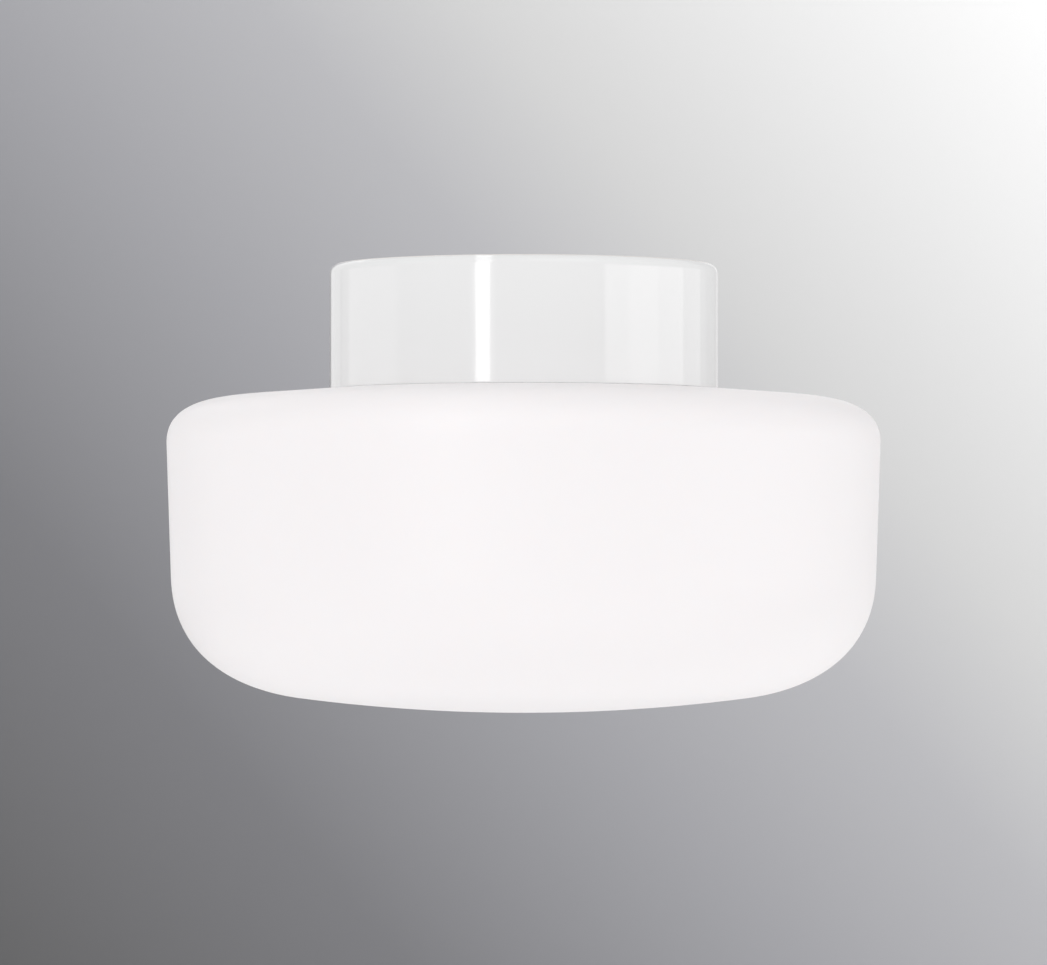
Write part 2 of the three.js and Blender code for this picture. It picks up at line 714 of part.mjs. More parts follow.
// The screw that holds a lead on its contact, with its head outwards
function contactScrew(side) {
  const endZ = terminalHeadRise + stripThickness + reliefDepth;
  const made = screw(0, 0, smallShank, smallHead, smallHeadHeight, 0, endZ);
  const headY = stripOffset + stripThickness + terminalHeadRise;
  const turned = made.rotate([-90, 0, 0]).rotate([0, 0, 180]);
  const placed = turned.translate([0, headY, holderBackZ - pocketDepth / 2]);
  return side > 0 ? placed : placed.rotate([0, 0, 180]);
}

const poles = [-polePitch, 0, polePitch];

function terminalBlock() {
  const half = polePitch + towerWidth / 2 + towerChamfer;
  const slabZ = blockTopZ - blockSlab;
  const comb = [at(-half, blockTopZ), at(-half, slabZ)];
  for (const x of poles) {
    const low = x - towerWidth / 2;
    const high = x + towerWidth / 2;
    comb.push(at(low, slabZ), at(low, blockBottomZ + towerChamfer), at(low + towerChamfer, blockBottomZ));
    comb.push(at(high - towerChamfer, blockBottomZ), at(high, blockBottomZ + towerChamfer), at(high, slabZ));
  }
  comb.push(at(half, slabZ), at(half, blockTopZ));
  let body = plate(comb, blockWidth).translate([0, blockY, 0]);
  const front = blockY - blockWidth / 2 - overrun;
  const back = blockY + blockWidth / 2 + overrun;
  const lowZ = blockBottomZ - overrun;
  for (const x of poles) {
    body = body.subtract(crossRod(x, sleeveZ, sleeveRadius + seatGap, front, back));
    for (const y of [blockY - poleScrewOffset, blockY + poleScrewOffset])
      body = body.subtract(rod(x, y, clampHead + seatGap, lowZ, sleeveZ));
  }
  body = body.subtract(rod(blockScrewX, blockY, blockScrewHead + seatGap, lowZ, slabZ + seatGap));
  return body.subtract(rod(blockScrewX, blockY, smallShank + seatGap, slabZ, blockTopZ + overrun));
}

function terminalSleeve(x) {
  const low = blockY - blockWidth / 2 + sleeveInset;
  const high = blockY + blockWidth / 2 - sleeveInset;
  let made = crossRod(x, sleeveZ, sleeveRadius, low, high);
  made = made.subtract(crossRod(x, sleeveZ, sleeveBoreRadius, low - overrun, high + overrun));
  for (const y of [blockY - poleScrewOffset, blockY + poleScrewOffset])
    made = made.subtract(rod(x, y, clampShank + seatGap, sleeveZ - sleeveRadius - overrun, sleeveZ));
  return made;
}

// An insulated lead with a bare conductor at both ends, along points chosen by hand
function lead(points, startBare, finalBare) {
  const whole = new THREE.CatmullRomCurve3(points.map((p) => new THREE.Vector3(...p)));
  const length = whole.getLength();
  const share = (distance) => distance / length;
  const from = share(startBare);
  const to = 1 - share(finalBare);
  const inner = [];
  for (let i = 0; i <= leadSteps; i++) inner.push(whole.getPointAt(from + ((to - from) * i) / leadSteps));
  const tube = (radius, path, sides) => {
    const shape = new THREE.Shape(arc(0, 0, radius, 0, 360 - 360 / sides, sides - 1));
    const options = { steps: leadSteps, extrudePath: path, bevelEnabled: false };
    return solid(new THREE.ExtrudeGeometry(shape, options));
  };
  const cover = tube(leadRadius, new THREE.CatmullRomCurve3(inner), leadSides);
  return cover.add(tube(conductorRadius, whole, leadSides - 2));
}

function bulbContact() {
  const lowZ = bulbTipZ - contactHeight;
  const crown = [at(0, bulbTipZ), at(contactRadius / 2, bulbTipZ)];
  const side = [at(contactRadius, lowZ + contactHeight / 2), at(contactRadius, lowZ)];
  return turnedSolid([...crown, ...side, at(0, lowZ)], middleSteps);
}

const insulatorTopZ = bulbTipZ - contactHeight - seatGap;
const capTopZ = insulatorTopZ - insulatorHeight - seatGap;
const capInner = capThreadRadius - capThreadDepth - capWall;
const capBottomZ = capTopZ - capThreadLength - capSkirtLength;

function bulbInsulator() {
  const plug = capInner - seatGap;
  const lowZ = capTopZ - insulatorPlug;
  const topRadius = contactRadius + seatGap;
  return turnedSolid(
    [at(0, insulatorTopZ), at(topRadius, insulatorTopZ), at(plug, capTopZ), at(plug, lowZ), at(0, lowZ)],
    middleSteps,
  );
}

function bulbCap() {
  const narrow = capThreadRadius - capThreadDepth;
  const skirtTopZ = capTopZ - capThreadLength;
  const thread = shapedRod(
    (angle, z) => narrow + capThreadDepth * wave(angle, z) * fade(z, skirtTopZ, capTopZ, capPitch / 2),
    threadHeights(skirtTopZ, capTopZ),
    threadSteps,
  );
  const skirt = rod(0, 0, capThreadRadius, capBottomZ, skirtTopZ + seatGap, threadSteps);
  const bore = rod(0, 0, capInner, capBottomZ - overrun, capTopZ + overrun, middleSteps);
  return thread.add(skirt).subtract(bore);
}

const housingTopZ = capBottomZ - seatGap;
const housingRimZ = housingTopZ - housingHeight;

function bulbHousing() {
  const plug = capInner - seatGap;
  const plugTopZ = capTopZ - insulatorPlug - seatGap - housingRim;
  const collarZ = housingTopZ - housingCollarHeight;
  const spigotZ = housingRimZ - housingRim;
  const rimInner = bulbRadius - bulbWall - seatGap;
  const cone = bend(
    at(housingCollarRadius, collarZ),
    at(housingCollarRadius, (2 * collarZ + housingRimZ) / 3),
    at(bulbRadius, (collarZ + 2 * housingRimZ) / 3),
    at(bulbRadius, housingRimZ),
    4,
  );
  return turnedSolid(
    chain(
      [at(0, plugTopZ), at(plug, plugTopZ), at(plug, housingTopZ), at(housingCollarRadius, housingTopZ)],
      cone,
      [at(rimInner, housingRimZ), at(rimInner, spigotZ), at(0, spigotZ)],
    ),
    middleSteps,
  );
}

function bulbDiffuser() {
  const topZ = housingRimZ - seatGap;
  const sideZ = topZ - diffuserSideHeight;
  const bottomZ = topZ - diffuserHeight;
  const outer = chain(
    [at(bulbRadius, topZ)],
    bend(
      at(bulbRadius, sideZ),
      at(bulbRadius, sideZ + (bottomZ - sideZ) * ovalPullShare),
      at(bulbRadius * ovalPullShare, bottomZ),
      at(0, bottomZ),
      4,
    ),
  );
  return turnedSolid(shell(outer, bulbWall), middleSteps);
}

// Base and seals
put(lamp, "porcelain_base", porcelainBase(), glaze);
put(lamp, "wall_gasket", wallGasket(), blackRubber);
put(lamp, "shade_gasket", shadeGasket(), whiteSilicone);
put(lamp, "glass_shade", glassShade(), opal);
put(lamp, "cable_grommet", entrySeal(true), blackRubber).position.y = entryOffset;
put(lamp, "blanking_plug", entrySeal(false), blackRubber).position.y = -entryOffset;

// Bracket and its fasteners
put(fittings, "lampholder_bracket", lampholderBracket(), zincSteel);
for (const [number, x] of [[1, bracketScrewX], [2, -bracketScrewX]]) {
  const headZ = footBottomZ - seatGap;
  const made = screw(x, 0, machineShank, machineHead, machineHeadHeight, headZ, -seatGap);
  put(fittings, "bracket_screw_" + number, made, zincSteel);
  put(fittings, "bracket_nut_" + number, nut(x, 0, machineShank), brass);
}
const earthHeadZ = footBottomZ - terminalHeadRise;
const earthEndZ = bracketTopZ + earthShankPast;
const earthScrew = screw(earthX, 0, smallShank, smallHead, smallHeadHeight, earthHeadZ, earthEndZ);
put(fittings, "earth_screw", earthScrew, brass);

// Lampholder
put(fittings, "lampholder_body", lampholderBody(), ceramic);
put(fittings, "lampholder_shell", lampholderShell(), nickel);
put(fittings, "live_contact", contactStrip(contactReach, 1), brass);
put(fittings, "neutral_contact", contactStrip(neutralReach, -1), brass);
put(fittings, "contact_spring", contactSpring(), nickel);
put(fittings, "live_contact_screw", contactScrew(1), zincSteel);
put(fittings, "neutral_contact_screw", contactScrew(-1), zincSteel);
for (const [number, x] of [[1, holderScrewOffset], [2, -holderScrewOffset]]) {
  const headZ = holderFloorZ + holderScrewHeadDepth - seatGap;
  const made = screw(x, 0, smallShank, smallHead, smallHeadHeight, headZ, bossZ);
  put(fittings, "lampholder_screw_" + number, made, zincSteel);
}

// Terminal block
put(fittings, "terminal_block", terminalBlock(), blockPlastic);
const blockHeadZ = blockTopZ - blockSlab;
const blockScrew = screw(0, 0, smallShank, blockScrewHead, smallHeadHeight, blockHeadZ, -seatGap);
put(fittings, "terminal_block_screw", blockScrew.translate([blockScrewX, blockY, 0]), zincSteel);
put(fittings, "terminal_block_nut", nut(blockScrewX, blockY, smallShank), brass);
poles.forEach((x, i) => {
  put(fittings, "terminal_sleeve_" + (i + 1), terminalSleeve(x), brass);
  [-poleScrewOffset, poleScrewOffset].forEach((y, j) => {
    const headZ = sleeveZ - sleeveRadius - seatGap;
    const endZ = sleeveZ - conductorRadius - seatGap;
    const made = screw(x, blockY + y, clampShank, clampHead, clampHeadHeight, headZ, endZ);
    put(fittings, "terminal_screw_" + (2 * i + j + 1), made, zincSteel);
  });
});

// Leads: each starts in its sleeve and ends under its screw
const innerFaceY = blockY - blockWidth / 2;
const sleeveStart = (x) => [
  [x, blockY - poleScrewOffset + smallShank, sleeveZ],
  [x, innerFaceY + sleeveInset, sleeveZ],
  [x, innerFaceY - leadRadius, sleeveZ],
];
const clampY = stripOffset + stripThickness + terminalHeadRise / 2;
const clampX = smallShank + conductorRadius + seatGap;
const clampEndZ = holderBackZ - pocketDepth / 2 - clampHead;
const aboveHolderZ = holderBackZ + leadRadius;
const liveRoute = [
  ...sleeveStart(0),
  [0.5, 23.6, -14.6],
  [1.8, 19, -12],
  [2.4, 15.6, -12.6],
  [clampX, clampY, aboveHolderZ],
  [clampX, clampY, clampEndZ],
];
const neutralRoute = [
  ...sleeveStart(polePitch),
  [13.6, 23, -18],
  [20, 14.2, -19],
  [23.8, 3, -19.3],
  [21.4, -11.6, -18.5],
  [13, -20.4, -15.4],
  [5.4, -19.2, -12.2],
  [2.6, -15.8, -12.5],
  [clampX, -clampY, aboveHolderZ],
  [clampX, -clampY, clampEndZ],
];
const earthClampX = earthX + clampX;
const earthClampZ = footBottomZ - terminalHeadRise / 2;
const earthRoute = [
  ...sleeveStart(-polePitch),
  [-15, 23.4, -18],
  [-24, 18.6, -18],
  [-31.5, 13.6, -16.6],
  [earthClampX, bracketWidth / 2 + leadRadius, earthClampZ],
  [earthClampX, -smallShank, earthClampZ],
];
put(fittings, "live_lead", lead(liveRoute, bareTerminal, bareEnd), brownInsulation);
put(fittings, "neutral_lead", lead(neutralRoute, bareTerminal, bareEnd), blueInsulation);
put(fittings, "earth_lead", lead(earthRoute, bareTerminal, bareEnd + bracketWidth / 2), greenInsulation);

// Bulb, turned with the lampholder so that the threads mesh
put(fittings, "bulb_contact", bulbContact(), brass);
put(fittings, "bulb_insulator", bulbInsulator(), blackGlass);
put(fittings, "bulb_cap", bulbCap(), nickel);
put(fittings, "bulb_housing", bulbHousing(), bulbPlastic);
put(fittings, "bulb_diffuser", bulbDiffuser(), bulbDiffuserPlastic);

export default lamp;
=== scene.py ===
# %% [markdown]
# # A porcelain and opal glass lamp
# A round base of glazed porcelain is screwed to a ceiling or wall, and a wide drum of matt opal glass
# screws into it. The CAD model gives the solids, which are never changed. Blender adds fine shapes, finishes,
# light and the camera. Shapes are in mm, as on a drawing, and each helper hands them over in metres.

# %% Load the solids
import json
import math
from contextlib import contextmanager
from math import cos, dist, pi, radians, sin
import bpy
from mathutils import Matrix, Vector


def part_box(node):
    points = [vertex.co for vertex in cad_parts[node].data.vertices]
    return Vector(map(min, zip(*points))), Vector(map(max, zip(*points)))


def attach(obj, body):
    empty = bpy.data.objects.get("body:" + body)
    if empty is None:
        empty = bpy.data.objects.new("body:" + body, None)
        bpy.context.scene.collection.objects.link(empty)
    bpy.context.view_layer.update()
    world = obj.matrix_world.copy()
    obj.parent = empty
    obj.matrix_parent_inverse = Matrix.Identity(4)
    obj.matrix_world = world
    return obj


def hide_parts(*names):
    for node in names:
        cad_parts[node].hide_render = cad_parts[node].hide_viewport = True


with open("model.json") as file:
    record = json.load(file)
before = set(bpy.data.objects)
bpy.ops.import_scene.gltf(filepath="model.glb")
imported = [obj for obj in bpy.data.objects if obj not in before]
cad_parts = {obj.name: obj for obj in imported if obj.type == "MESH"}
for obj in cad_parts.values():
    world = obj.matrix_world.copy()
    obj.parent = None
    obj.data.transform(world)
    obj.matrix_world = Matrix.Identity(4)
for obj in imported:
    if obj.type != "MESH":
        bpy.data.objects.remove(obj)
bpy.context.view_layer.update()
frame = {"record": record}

mm = 0.001

# %% [markdown]
# ## Camera
# The camera could be placed by eye, but a revolved profile was fitted to the outline in the photo. It gives
# a place 2 m away and a long lens. The fit is in pixels, so the sensor's width turns it into mm.

# %% Camera
def add(name, data):
    """A new object in the scene, from a camera, a curve or a light."""
    obj = bpy.data.objects.new(name, data)
    bpy.context.scene.collection.objects.link(obj)
    return obj


photo_width, focal_length, pitch_up = 1047, 6068, 1.22
camera_data = bpy.data.cameras.new("camera")
camera_data.sensor_width = 36
camera_data.lens = focal_length * 36 / photo_width
camera_data.clip_start, camera_data.clip_end = 0.05, 30
camera = bpy.context.scene.camera = add("camera", camera_data)
camera.location = (0, -2.0, -0.1144)
camera.rotation_euler = (radians(90 + pitch_up), 0, 0)
print("lens", round(camera_data.lens, 1), "mm at", tuple(round(x, 3) for x in camera.location))

# %% [markdown]
# ## Sections
# Most pieces are round, so half a section says everything about them. It could be traced with curve
# handles. A list of points is better, as each number can be measured in the photo and changed on its own.

# %% Helpers for sections
def bend(start, pull_start, pull_end, end, steps):
    """A curve between two corners that leaves each of them towards its pull."""
    points = []
    for i in range(steps + 1):
        t = i / steps
        weights = ((1 - t) ** 3, 3 * t * (1 - t) ** 2, 3 * t * t * (1 - t), t**3)
        corners = (start, pull_start, pull_end, end)
        points.append(tuple(sum(w * c[k] for w, c in zip(weights, corners)) for k in (0, 1)))
    return points


def arc(x, y, radius, start, end, steps):
    """Points round a centre, between two angles in degrees."""
    turn = [radians(start + (end - start) * i / steps) for i in range(steps + 1)]
    return [(x + radius * cos(a), y + radius * sin(a)) for a in turn]


def chain(*runs):
    """Runs of points as one list, without the points that they share."""
    points = [p for run in runs for p in run]
    return [p for i, p in enumerate(points) if i == 0 or dist(p, points[i - 1]) > 1e-4]


quarter = arc(0, 0, 1, 0, 90, 6)
print("a quarter turn in 6 steps is", round(sum(map(dist, quarter, quarter[1:])), 3), "radii long")

# %% [markdown]
# ## The shade's outline
# The shade is a flat ring, a soft shoulder, a wall that narrows a little, and a wide corner into a nearly
# flat bottom. A Solidify modifier would change the neck's lip, so the inside is the outside moved in.

# %% Outline the shade
def offset(points, distance):
    """The same outline, moved to its right side by a distance."""
    moved = []
    for i, p in enumerate(points):
        a, b = points[max(i - 1, 0)], points[min(i + 1, len(points) - 1)]
        length = dist(a, b)
        across, along = (b[1] - a[1]) / length, (b[0] - a[0]) / length
        moved.append((max(p[0] + across * distance, 0), p[1] - along * distance))
    return moved


seat_z, neck_top_z, neck_radius = -41.25, -28, 52.4
shade_wall = 3.5
outside = chain(
    arc(neck_radius - shade_wall / 2, neck_top_z - shade_wall / 2, shade_wall / 2, 90, 0, 6),
    arc(neck_radius + 2, seat_z + 2, 2, 180, 270, 6),
    [(64.4, seat_z)],
    bend((94.8, -43.6), (108.42, -44.54), (117.86, -48.59), (117.5, -59.2), 28),
    [(117, -73.93), (116.5, -88.67)],
    bend((116, -103.4), (115.16, -128.22), (96.03, -139.86), (73.5, -142.8), 36),
    bend((73.5, -142.8), (49, -146), (24.5, -147.6), (0, -147.6), 14),
)
inside = offset(outside, shade_wall)
inside[0] = outside[0]
print("shade:", len(outside), "points on the outside,", round(2 * max(x for x, z in outside), 1), "mm wide")

# %% [markdown]
# ## Draw and spin
# Glass is blown while it turns. A Screw modifier on a curve would give that shape. Here one vertex is
# extruded from point to point and the line is spun, which leaves a plain mesh of clean rings for the next
# tool.

# %% Spin the shade
def select_only(obj):
    bpy.ops.object.select_all(action="DESELECT")
    obj.select_set(True)
    bpy.context.view_layer.objects.active = obj


def named(name):
    """The active object, under a new name."""
    obj = bpy.context.object
    obj.name = obj.data.name = name
    return obj


def pick(action="SELECT"):
    bpy.ops.mesh.select_all(action=action)


@contextmanager
def editing():
    """Edit mode, for the steps in a with block."""
    bpy.ops.object.mode_set(mode="EDIT")
    yield
    bpy.ops.object.mode_set(mode="OBJECT")


def extrude(x=0, y=0, z=0):
    """Extrudes what is selected by a way in mm."""
    bpy.ops.mesh.extrude_region_move(TRANSFORM_OT_translate={"value": (x * mm, y * mm, z * mm)})


def close_skin(merge=0):
    """Merges points that lie together, and turns all faces outwards."""
    pick()
    if merge:
        bpy.ops.mesh.remove_doubles(threshold=merge)
    bpy.ops.mesh.normals_make_consistent(inside=False)


def draw(name, points, closed=True):
    """Extrudes one vertex from point to point in the XZ plane."""
    bpy.ops.mesh.primitive_plane_add(size=mm, location=(0, 0, 0))
    obj = named(name)
    with editing():
        bpy.ops.mesh.merge(type="CENTER")
        bpy.ops.transform.translate(value=(points[0][0] * mm, 0, points[0][1] * mm))
        for here, there in zip(points, points[1:]):
            extrude(there[0] - here[0], 0, there[1] - here[1])
        if closed:
            pick()
            bpy.ops.mesh.remove_doubles(threshold=1e-6)
            pick("DESELECT")
    joined = [i for e in obj.data.edges for i in e.vertices]
    ends = [v for v in obj.data.vertices if joined.count(v.index) < 2]
    if closed and len(ends) == 2 and max(abs(v.co.x) for v in ends) > 1e-6:
        for v in ends:
            v.select = True
        with editing():
            bpy.ops.mesh.edge_face_add()
    return obj


def lathe(name, points, steps=160):
    """A section spun once round the Z axis and closed at its seam."""
    obj = draw(name, points)
    with editing():
        pick()
        bpy.ops.mesh.spin(steps=steps, angle=2 * pi, center=(0, 0, 0), axis=(0, 0, 1))
        close_skin(1e-6)
    return obj


def report(obj):
    size = [round(x / mm, 1) for x in obj.dimensions]
    print(obj.name, size, "mm,", sum(len(p.vertices) - 2 for p in obj.data.polygons), "triangles")


shade = lathe("shade", [*outside, *reversed(inside)], 192)
report(shade)

# %% [markdown]
# ## The shade's thread
# A flat-topped ridge climbs once round the neck. A texture could fake it, but would not stand in the base's
# groove. So a Screw modifier sweeps a section, and its ends are filled and drawn in towards the axis.

# %% Sweep the ridge
def modify(obj, kind, **settings):
    """Gives an object a modifier and applies it at once."""
    select_only(obj)
    modifier = obj.modifiers.new(kind, kind)
    for name, value in settings.items():
        setattr(modifier, name, value)
    bpy.ops.object.modifier_apply(modifier=modifier.name)
    return obj


def climb(obj, pitch, turns, steps):
    """Sweeps a section up a right-hand screw, from the +X side."""
    count = round(steps * turns)
    return modify(obj, "SCREW", axis="Z", angle=2 * pi * turns, screw_offset=pitch * turns * mm,
                  steps=count, render_steps=count, use_smooth_shade=False)


def ridge(name, section, turns, taper=1):
    """A closed section swept up the neck's screw, with filled ends that a taper draws in."""
    obj = climb(draw(name, section), neck_pitch, turns, 96)
    with editing():
        pick("DESELECT")
        bpy.ops.mesh.select_non_manifold(extend=False)
        bpy.ops.transform.resize(value=(taper, taper, 1), center_override=(0, 0, 0))
        bpy.ops.mesh.edge_face_add()
        close_skin()
    return obj


neck_pitch, ridge_start_z = 7, -37.5
ridge_section = [(51.4, -2.2), (52.4, -2.2), (54.9, -1.1), (54.9, 1.1), (52.4, 2.2), (51.4, 2.2)]
shade_ridge = ridge("shade_ridge", ridge_section, 1, 0.965)
report(shade_ridge)

# %% [markdown]
# ## Join the ridge to the neck
# Neck and ridge are one piece of glass. Two meshes that only overlap would show a seam, so a Boolean makes
# one skin. The ridge's place is kept in its mesh, because finished objects have to stay at the origin.

# %% Join the shade
def place(obj, x=0, y=0, z=0, turn=0):
    """Moves a mesh and turns it about Z, while its object stays at the origin."""
    select_only(obj)
    obj.rotation_euler = (0, 0, turn)
    obj.location = (x * mm, y * mm, z * mm)
    bpy.ops.object.transform_apply()
    return obj


def combine(obj, tool, operation="UNION"):
    """Joins a second piece to the first, or keeps what they share."""
    modify(obj, "BOOLEAN", operation=operation, solver="EXACT", object=tool)
    bpy.data.objects.remove(tool)
    return obj


def cut(obj, *tools):
    """Cuts tools out of a piece, one after the other."""
    for tool in tools:
        combine(obj, tool, "DIFFERENCE")
    return obj


def smooth(obj, angle=30):
    """Shades faces as one curve, except where they meet at more than an angle."""
    select_only(obj)
    bpy.ops.object.shade_smooth_by_angle(angle=radians(angle))
    return obj


smooth(combine(shade, place(shade_ridge, z=ridge_start_z)))
report(shade)

# %% [markdown]
# ## The base
# The base is a thick cup of porcelain, and one section holds all that is round about it. A Bevel modifier
# could round the edges later, but each has its own radius, so the arcs are drawn in.

# %% Spin the base
base = lathe("base", chain(
    [(0, -3.5)], arc(51, -2.5, 1, 270, 360, 4), arc(52.6, -0.6, 0.6, 180, 90, 4),
    [(54.8, 0), (55, -0.2), (55, -2), (59, -2), (59, -0.2), (59.2, 0)],
    arc(61, -3, 3, 90, 0, 12), [(64, -3.4), (64, -40.6)], arc(63.88, -41.08, 0.12, 0, -90, 3),
    arc(60.9, -40.8, 0.4, 270, 180, 4), [(60.5, -38.5), (53.5, -38.5), (53.2, -38.2)],
    bend((53.2, -25.5), (53.2, -24.5), (57, -22.7), (57, -21), 6),
    arc(53, -14, 4, 0, 90, 8), [(0, -10)],
))
report(base)

# %% [markdown]
# ## Cut the back of the base
# The back has a rib, two bosses, slots to hang the lamp by, cable entries and screw holes. They could be
# drawn in, but tools are easier to move: cubes and cylinders, a little larger than what goes in. Those that
# don't overlap are joined for one cut.

# %% Cut the back
def select_where(obj, test):
    """Selects the vertices that pass a test, and what lies between them."""
    for v in obj.data.vertices:
        v.select = test(v.co)
    for item in [*obj.data.edges, *obj.data.polygons]:
        item.select = all(obj.data.vertices[i].select for i in item.vertices)


def stretch(obj, side, distance, edge=0):
    """Moves the vertices on one side of X = 0 along X."""
    select_where(obj, lambda co: co.x * side > edge)
    with editing():
        bpy.ops.transform.translate(value=(distance * mm, 0, 0))


def cutter(x, y, radius, low, high, turn=0, reach=0, steps=48):
    """An upright round tool, or a slot if a reach moves its two halves apart."""
    bpy.ops.mesh.primitive_cylinder_add(vertices=steps, radius=radius * mm, depth=(high - low) * mm)
    obj = bpy.context.object
    for side in (-1, 1) if reach else ():
        stretch(obj, side, side * reach, 1e-6)
    place(obj, x, y, (low + high) / 2)
    return place(obj, turn=turn)


def block(name, low, high, edge):
    """A bar between two corners, with bevelled edges."""
    middle = [(a + b) / 2 * mm for a, b in zip(low, high)]
    size = [(b - a) * mm for a, b in zip(low, high)]
    bpy.ops.mesh.primitive_cube_add(size=1, location=middle, scale=size)
    bpy.ops.object.transform_apply()
    return modify(named(name), "BEVEL", width=edge * mm, segments=3)


def join(tools):
    """Makes one object of tools that don't overlap."""
    bpy.ops.object.select_all(action="DESELECT")
    for tool in tools:
        tool.select_set(True)
    bpy.context.view_layer.objects.active = tools[0]
    bpy.ops.object.join()
    return tools[0]


fittings_turn = radians(47)
block_x, block_y = 5, 35.5  # the terminal block's own screw
combine(base, block("rib", (-52.4, -9, -4.5), (52.4, 9, 0), 0.5))
combine(base, join([cutter(x, 0, 5.5, -12, -9.5, fittings_turn) for x in (-29, 29)]))
holes = [cutter(x, 0, 2.2, -13, 1, fittings_turn) for x in (-29, 29)]
holes += [cutter(block_x, block_y, 1.8, -13, 1, fittings_turn)]
holes += [cutter(x, 0, 2.75, -13, 1, reach=2.75) for x in (-36, 36)]
holes += [cutter(0, y, 9, -13, 1) for y in (-37, 37)]
cut(base, join(holes))
report(base)

# %% [markdown]
# ## The groove in the collar
# The shade's ridge runs in a groove in the collar. The ridge itself could be the tool, but glass needs room
# to turn, so the groove is a little larger, and goes on at both ends so that the shade can be tightened.

# %% Cut the groove
groove_section = [(52.2, -2.7), (53.2, -2.7), (55.7, -1.6), (55.7, 1.6), (53.2, 2.7), (52.2, 2.7)]
groove_lead = 0.8  # turns that the groove starts before the ridge
groove = ridge("groove", groove_section, 1.86)
groove = place(groove, z=ridge_start_z - groove_lead * neck_pitch, turn=-groove_lead * 2 * pi)
smooth(cut(base, groove))
report(base)

# %% [markdown]
# ## Sums of sockets
# A finish is a small network of nodes. It could be wired by hand, but would be hard to read. So a Value
# wraps the output of a node, and adding or multiplying Values adds the Math nodes.

# %% Helper for shader maths
class Value:
    """The output of a node, for use in sums."""

    def __init__(self, finish, socket):
        self.finish, self.socket = finish, socket

    def maths(self, operation, *others):
        return self.finish.node("Math", {"operation": operation}, dict(enumerate((self, *others))))

    def __add__(self, other):
        return self.maths("ADD", other)

    def __mul__(self, other):
        return self.maths("MULTIPLY", other)

    def __rsub__(self, other):
        return self.finish.node("Math", {"operation": "SUBTRACT"}, {0: other, 1: self})

    __radd__, __rmul__ = __add__, __mul__

    def above(self, edge, softness):
        """0 below an edge, 1 above it, with a soft step of the given width."""
        values = {"Value": self, "From Min": edge - softness / 2, "From Max": edge + softness / 2}
        return self.finish.node("MapRange", {"interpolation_type": "SMOOTHSTEP"}, values)


# %% [markdown]
# ## A material from nodes
# Every finish is a Principled shader with patterns behind it. Images could do that, but patterns that are
# worked out stay sharp. All read Object coordinates, in metres, so a grain has its real size.

# %% Helper for finishes
class Finish:
    """A material whose Principled shader is fed by nodes."""

    def __init__(self, name, **constants):
        self.material = bpy.data.materials.new(name)
        self.material.use_nodes = True
        self.tree = self.material.node_tree
        self.shader = self.tree.nodes["Principled BSDF"]
        for socket, value in constants.items():
            self.set(socket.replace("_", " "), value)
        self.place = self.node("TexCoord", {}, {}, "Object")

    def feed(self, socket, value):
        if isinstance(value, Value):
            self.tree.links.new(value.socket, socket)
        else:
            socket.default_value = value

    def set(self, socket, value):
        self.feed(self.shader.inputs[socket], value)

    def node(self, kind, settings, values, output=0):
        """Any node, from its settings and the values or links of its sockets."""
        made = self.tree.nodes.new("ShaderNode" + kind)
        for name, value in settings.items():
            if name == "stops":
                ramp = made.color_ramp.elements
                for spare in value[2:]:
                    ramp.new(spare[0])
                for stop, (position, color) in zip(ramp, value):
                    stop.position, stop.color = position, color
            else:
                setattr(made, name, value)
        for name, value in values.items():
            self.feed(made.inputs[name], value)
        return Value(self, made.outputs[output])

    def axis(self, letter):
        return self.node("SeparateXYZ", {}, {0: self.place}, letter)

    def radius(self):
        """Distance from the upright axis, in metres."""
        flat = self.node("VectorMath", {"operation": "MULTIPLY"}, {0: self.place, 1: (1, 1, 0)})
        return self.node("VectorMath", {"operation": "LENGTH"}, {0: flat}, "Value")

    def noise(self, size, detail=2, roughness=0.5, stretch=(1, 1, 1)):
        """Noise of about that grain size in metres, between 0 and 1."""
        place = self.node("VectorMath", {"operation": "MULTIPLY"}, {0: self.place, 1: stretch})
        values = {"Vector": place, "Scale": 1 / size, "Detail": detail, "Roughness": roughness}
        return self.node("TexNoise", {}, values)

    def mix(self, share, first, second):
        return self.node("Mix", {"data_type": "RGBA"}, {"Factor": share, 6: first, 7: second}, 2)

    def surface(self, color, roughness, height, distance=mm):
        """Colour, roughness, and relief whose height of 1 stands for a distance in metres."""
        self.set("Base Color", color)
        self.set("Roughness", roughness)
        self.set("Normal", self.node("Bump", {}, {"Height": height, "Distance": distance}))
        print(self.material.name, "has", len(self.tree.nodes), "nodes")


def grey(tone, warmth=0.0):
    return (tone * (1 + warmth), tone, tone * (1 - warmth), 1)


# %% [markdown]
# ## Glaze
# The base is porcelain under a clear, smooth glaze. Its foot, rib and thread are wiped clean before firing,
# and stay matt and warmer. Two materials could do this, but one with a mask gives the border a wander of
# its own.

# %% Glaze material
glaze = Finish("white_glaze", IOR=1.5)
height = glaze.axis("Z")
wander = glaze.noise(0.006, 3) * (0.5 * mm)
foot_z, rim_z, collar_top, collar_radius = -0.1 * mm, -38.3 * mm, -22 * mm, 57.4 * mm
foot = (height + wander).above(foot_z, 0.25 * mm)
thread_side = (height + wander).above(rim_z, 0.5 * mm) * (1 - height.above(collar_top, 0.5 * mm))
collar = thread_side * (1 - (glaze.radius() + wander).above(collar_radius, 0.4 * mm))
bare = foot.maths("MAXIMUM", collar)
cloud = glaze.noise(0.05, 2)
glazed = glaze.mix(cloud, grey(0.8), grey(0.82, -0.004))
biscuit = glaze.mix(glaze.noise(0.0012, 3), grey(0.66, 0.04), grey(0.74, 0.035))
waver = glaze.noise(0.011, 1) * 0.03
grain = glaze.noise(0.0005, 2) * bare * 0.03
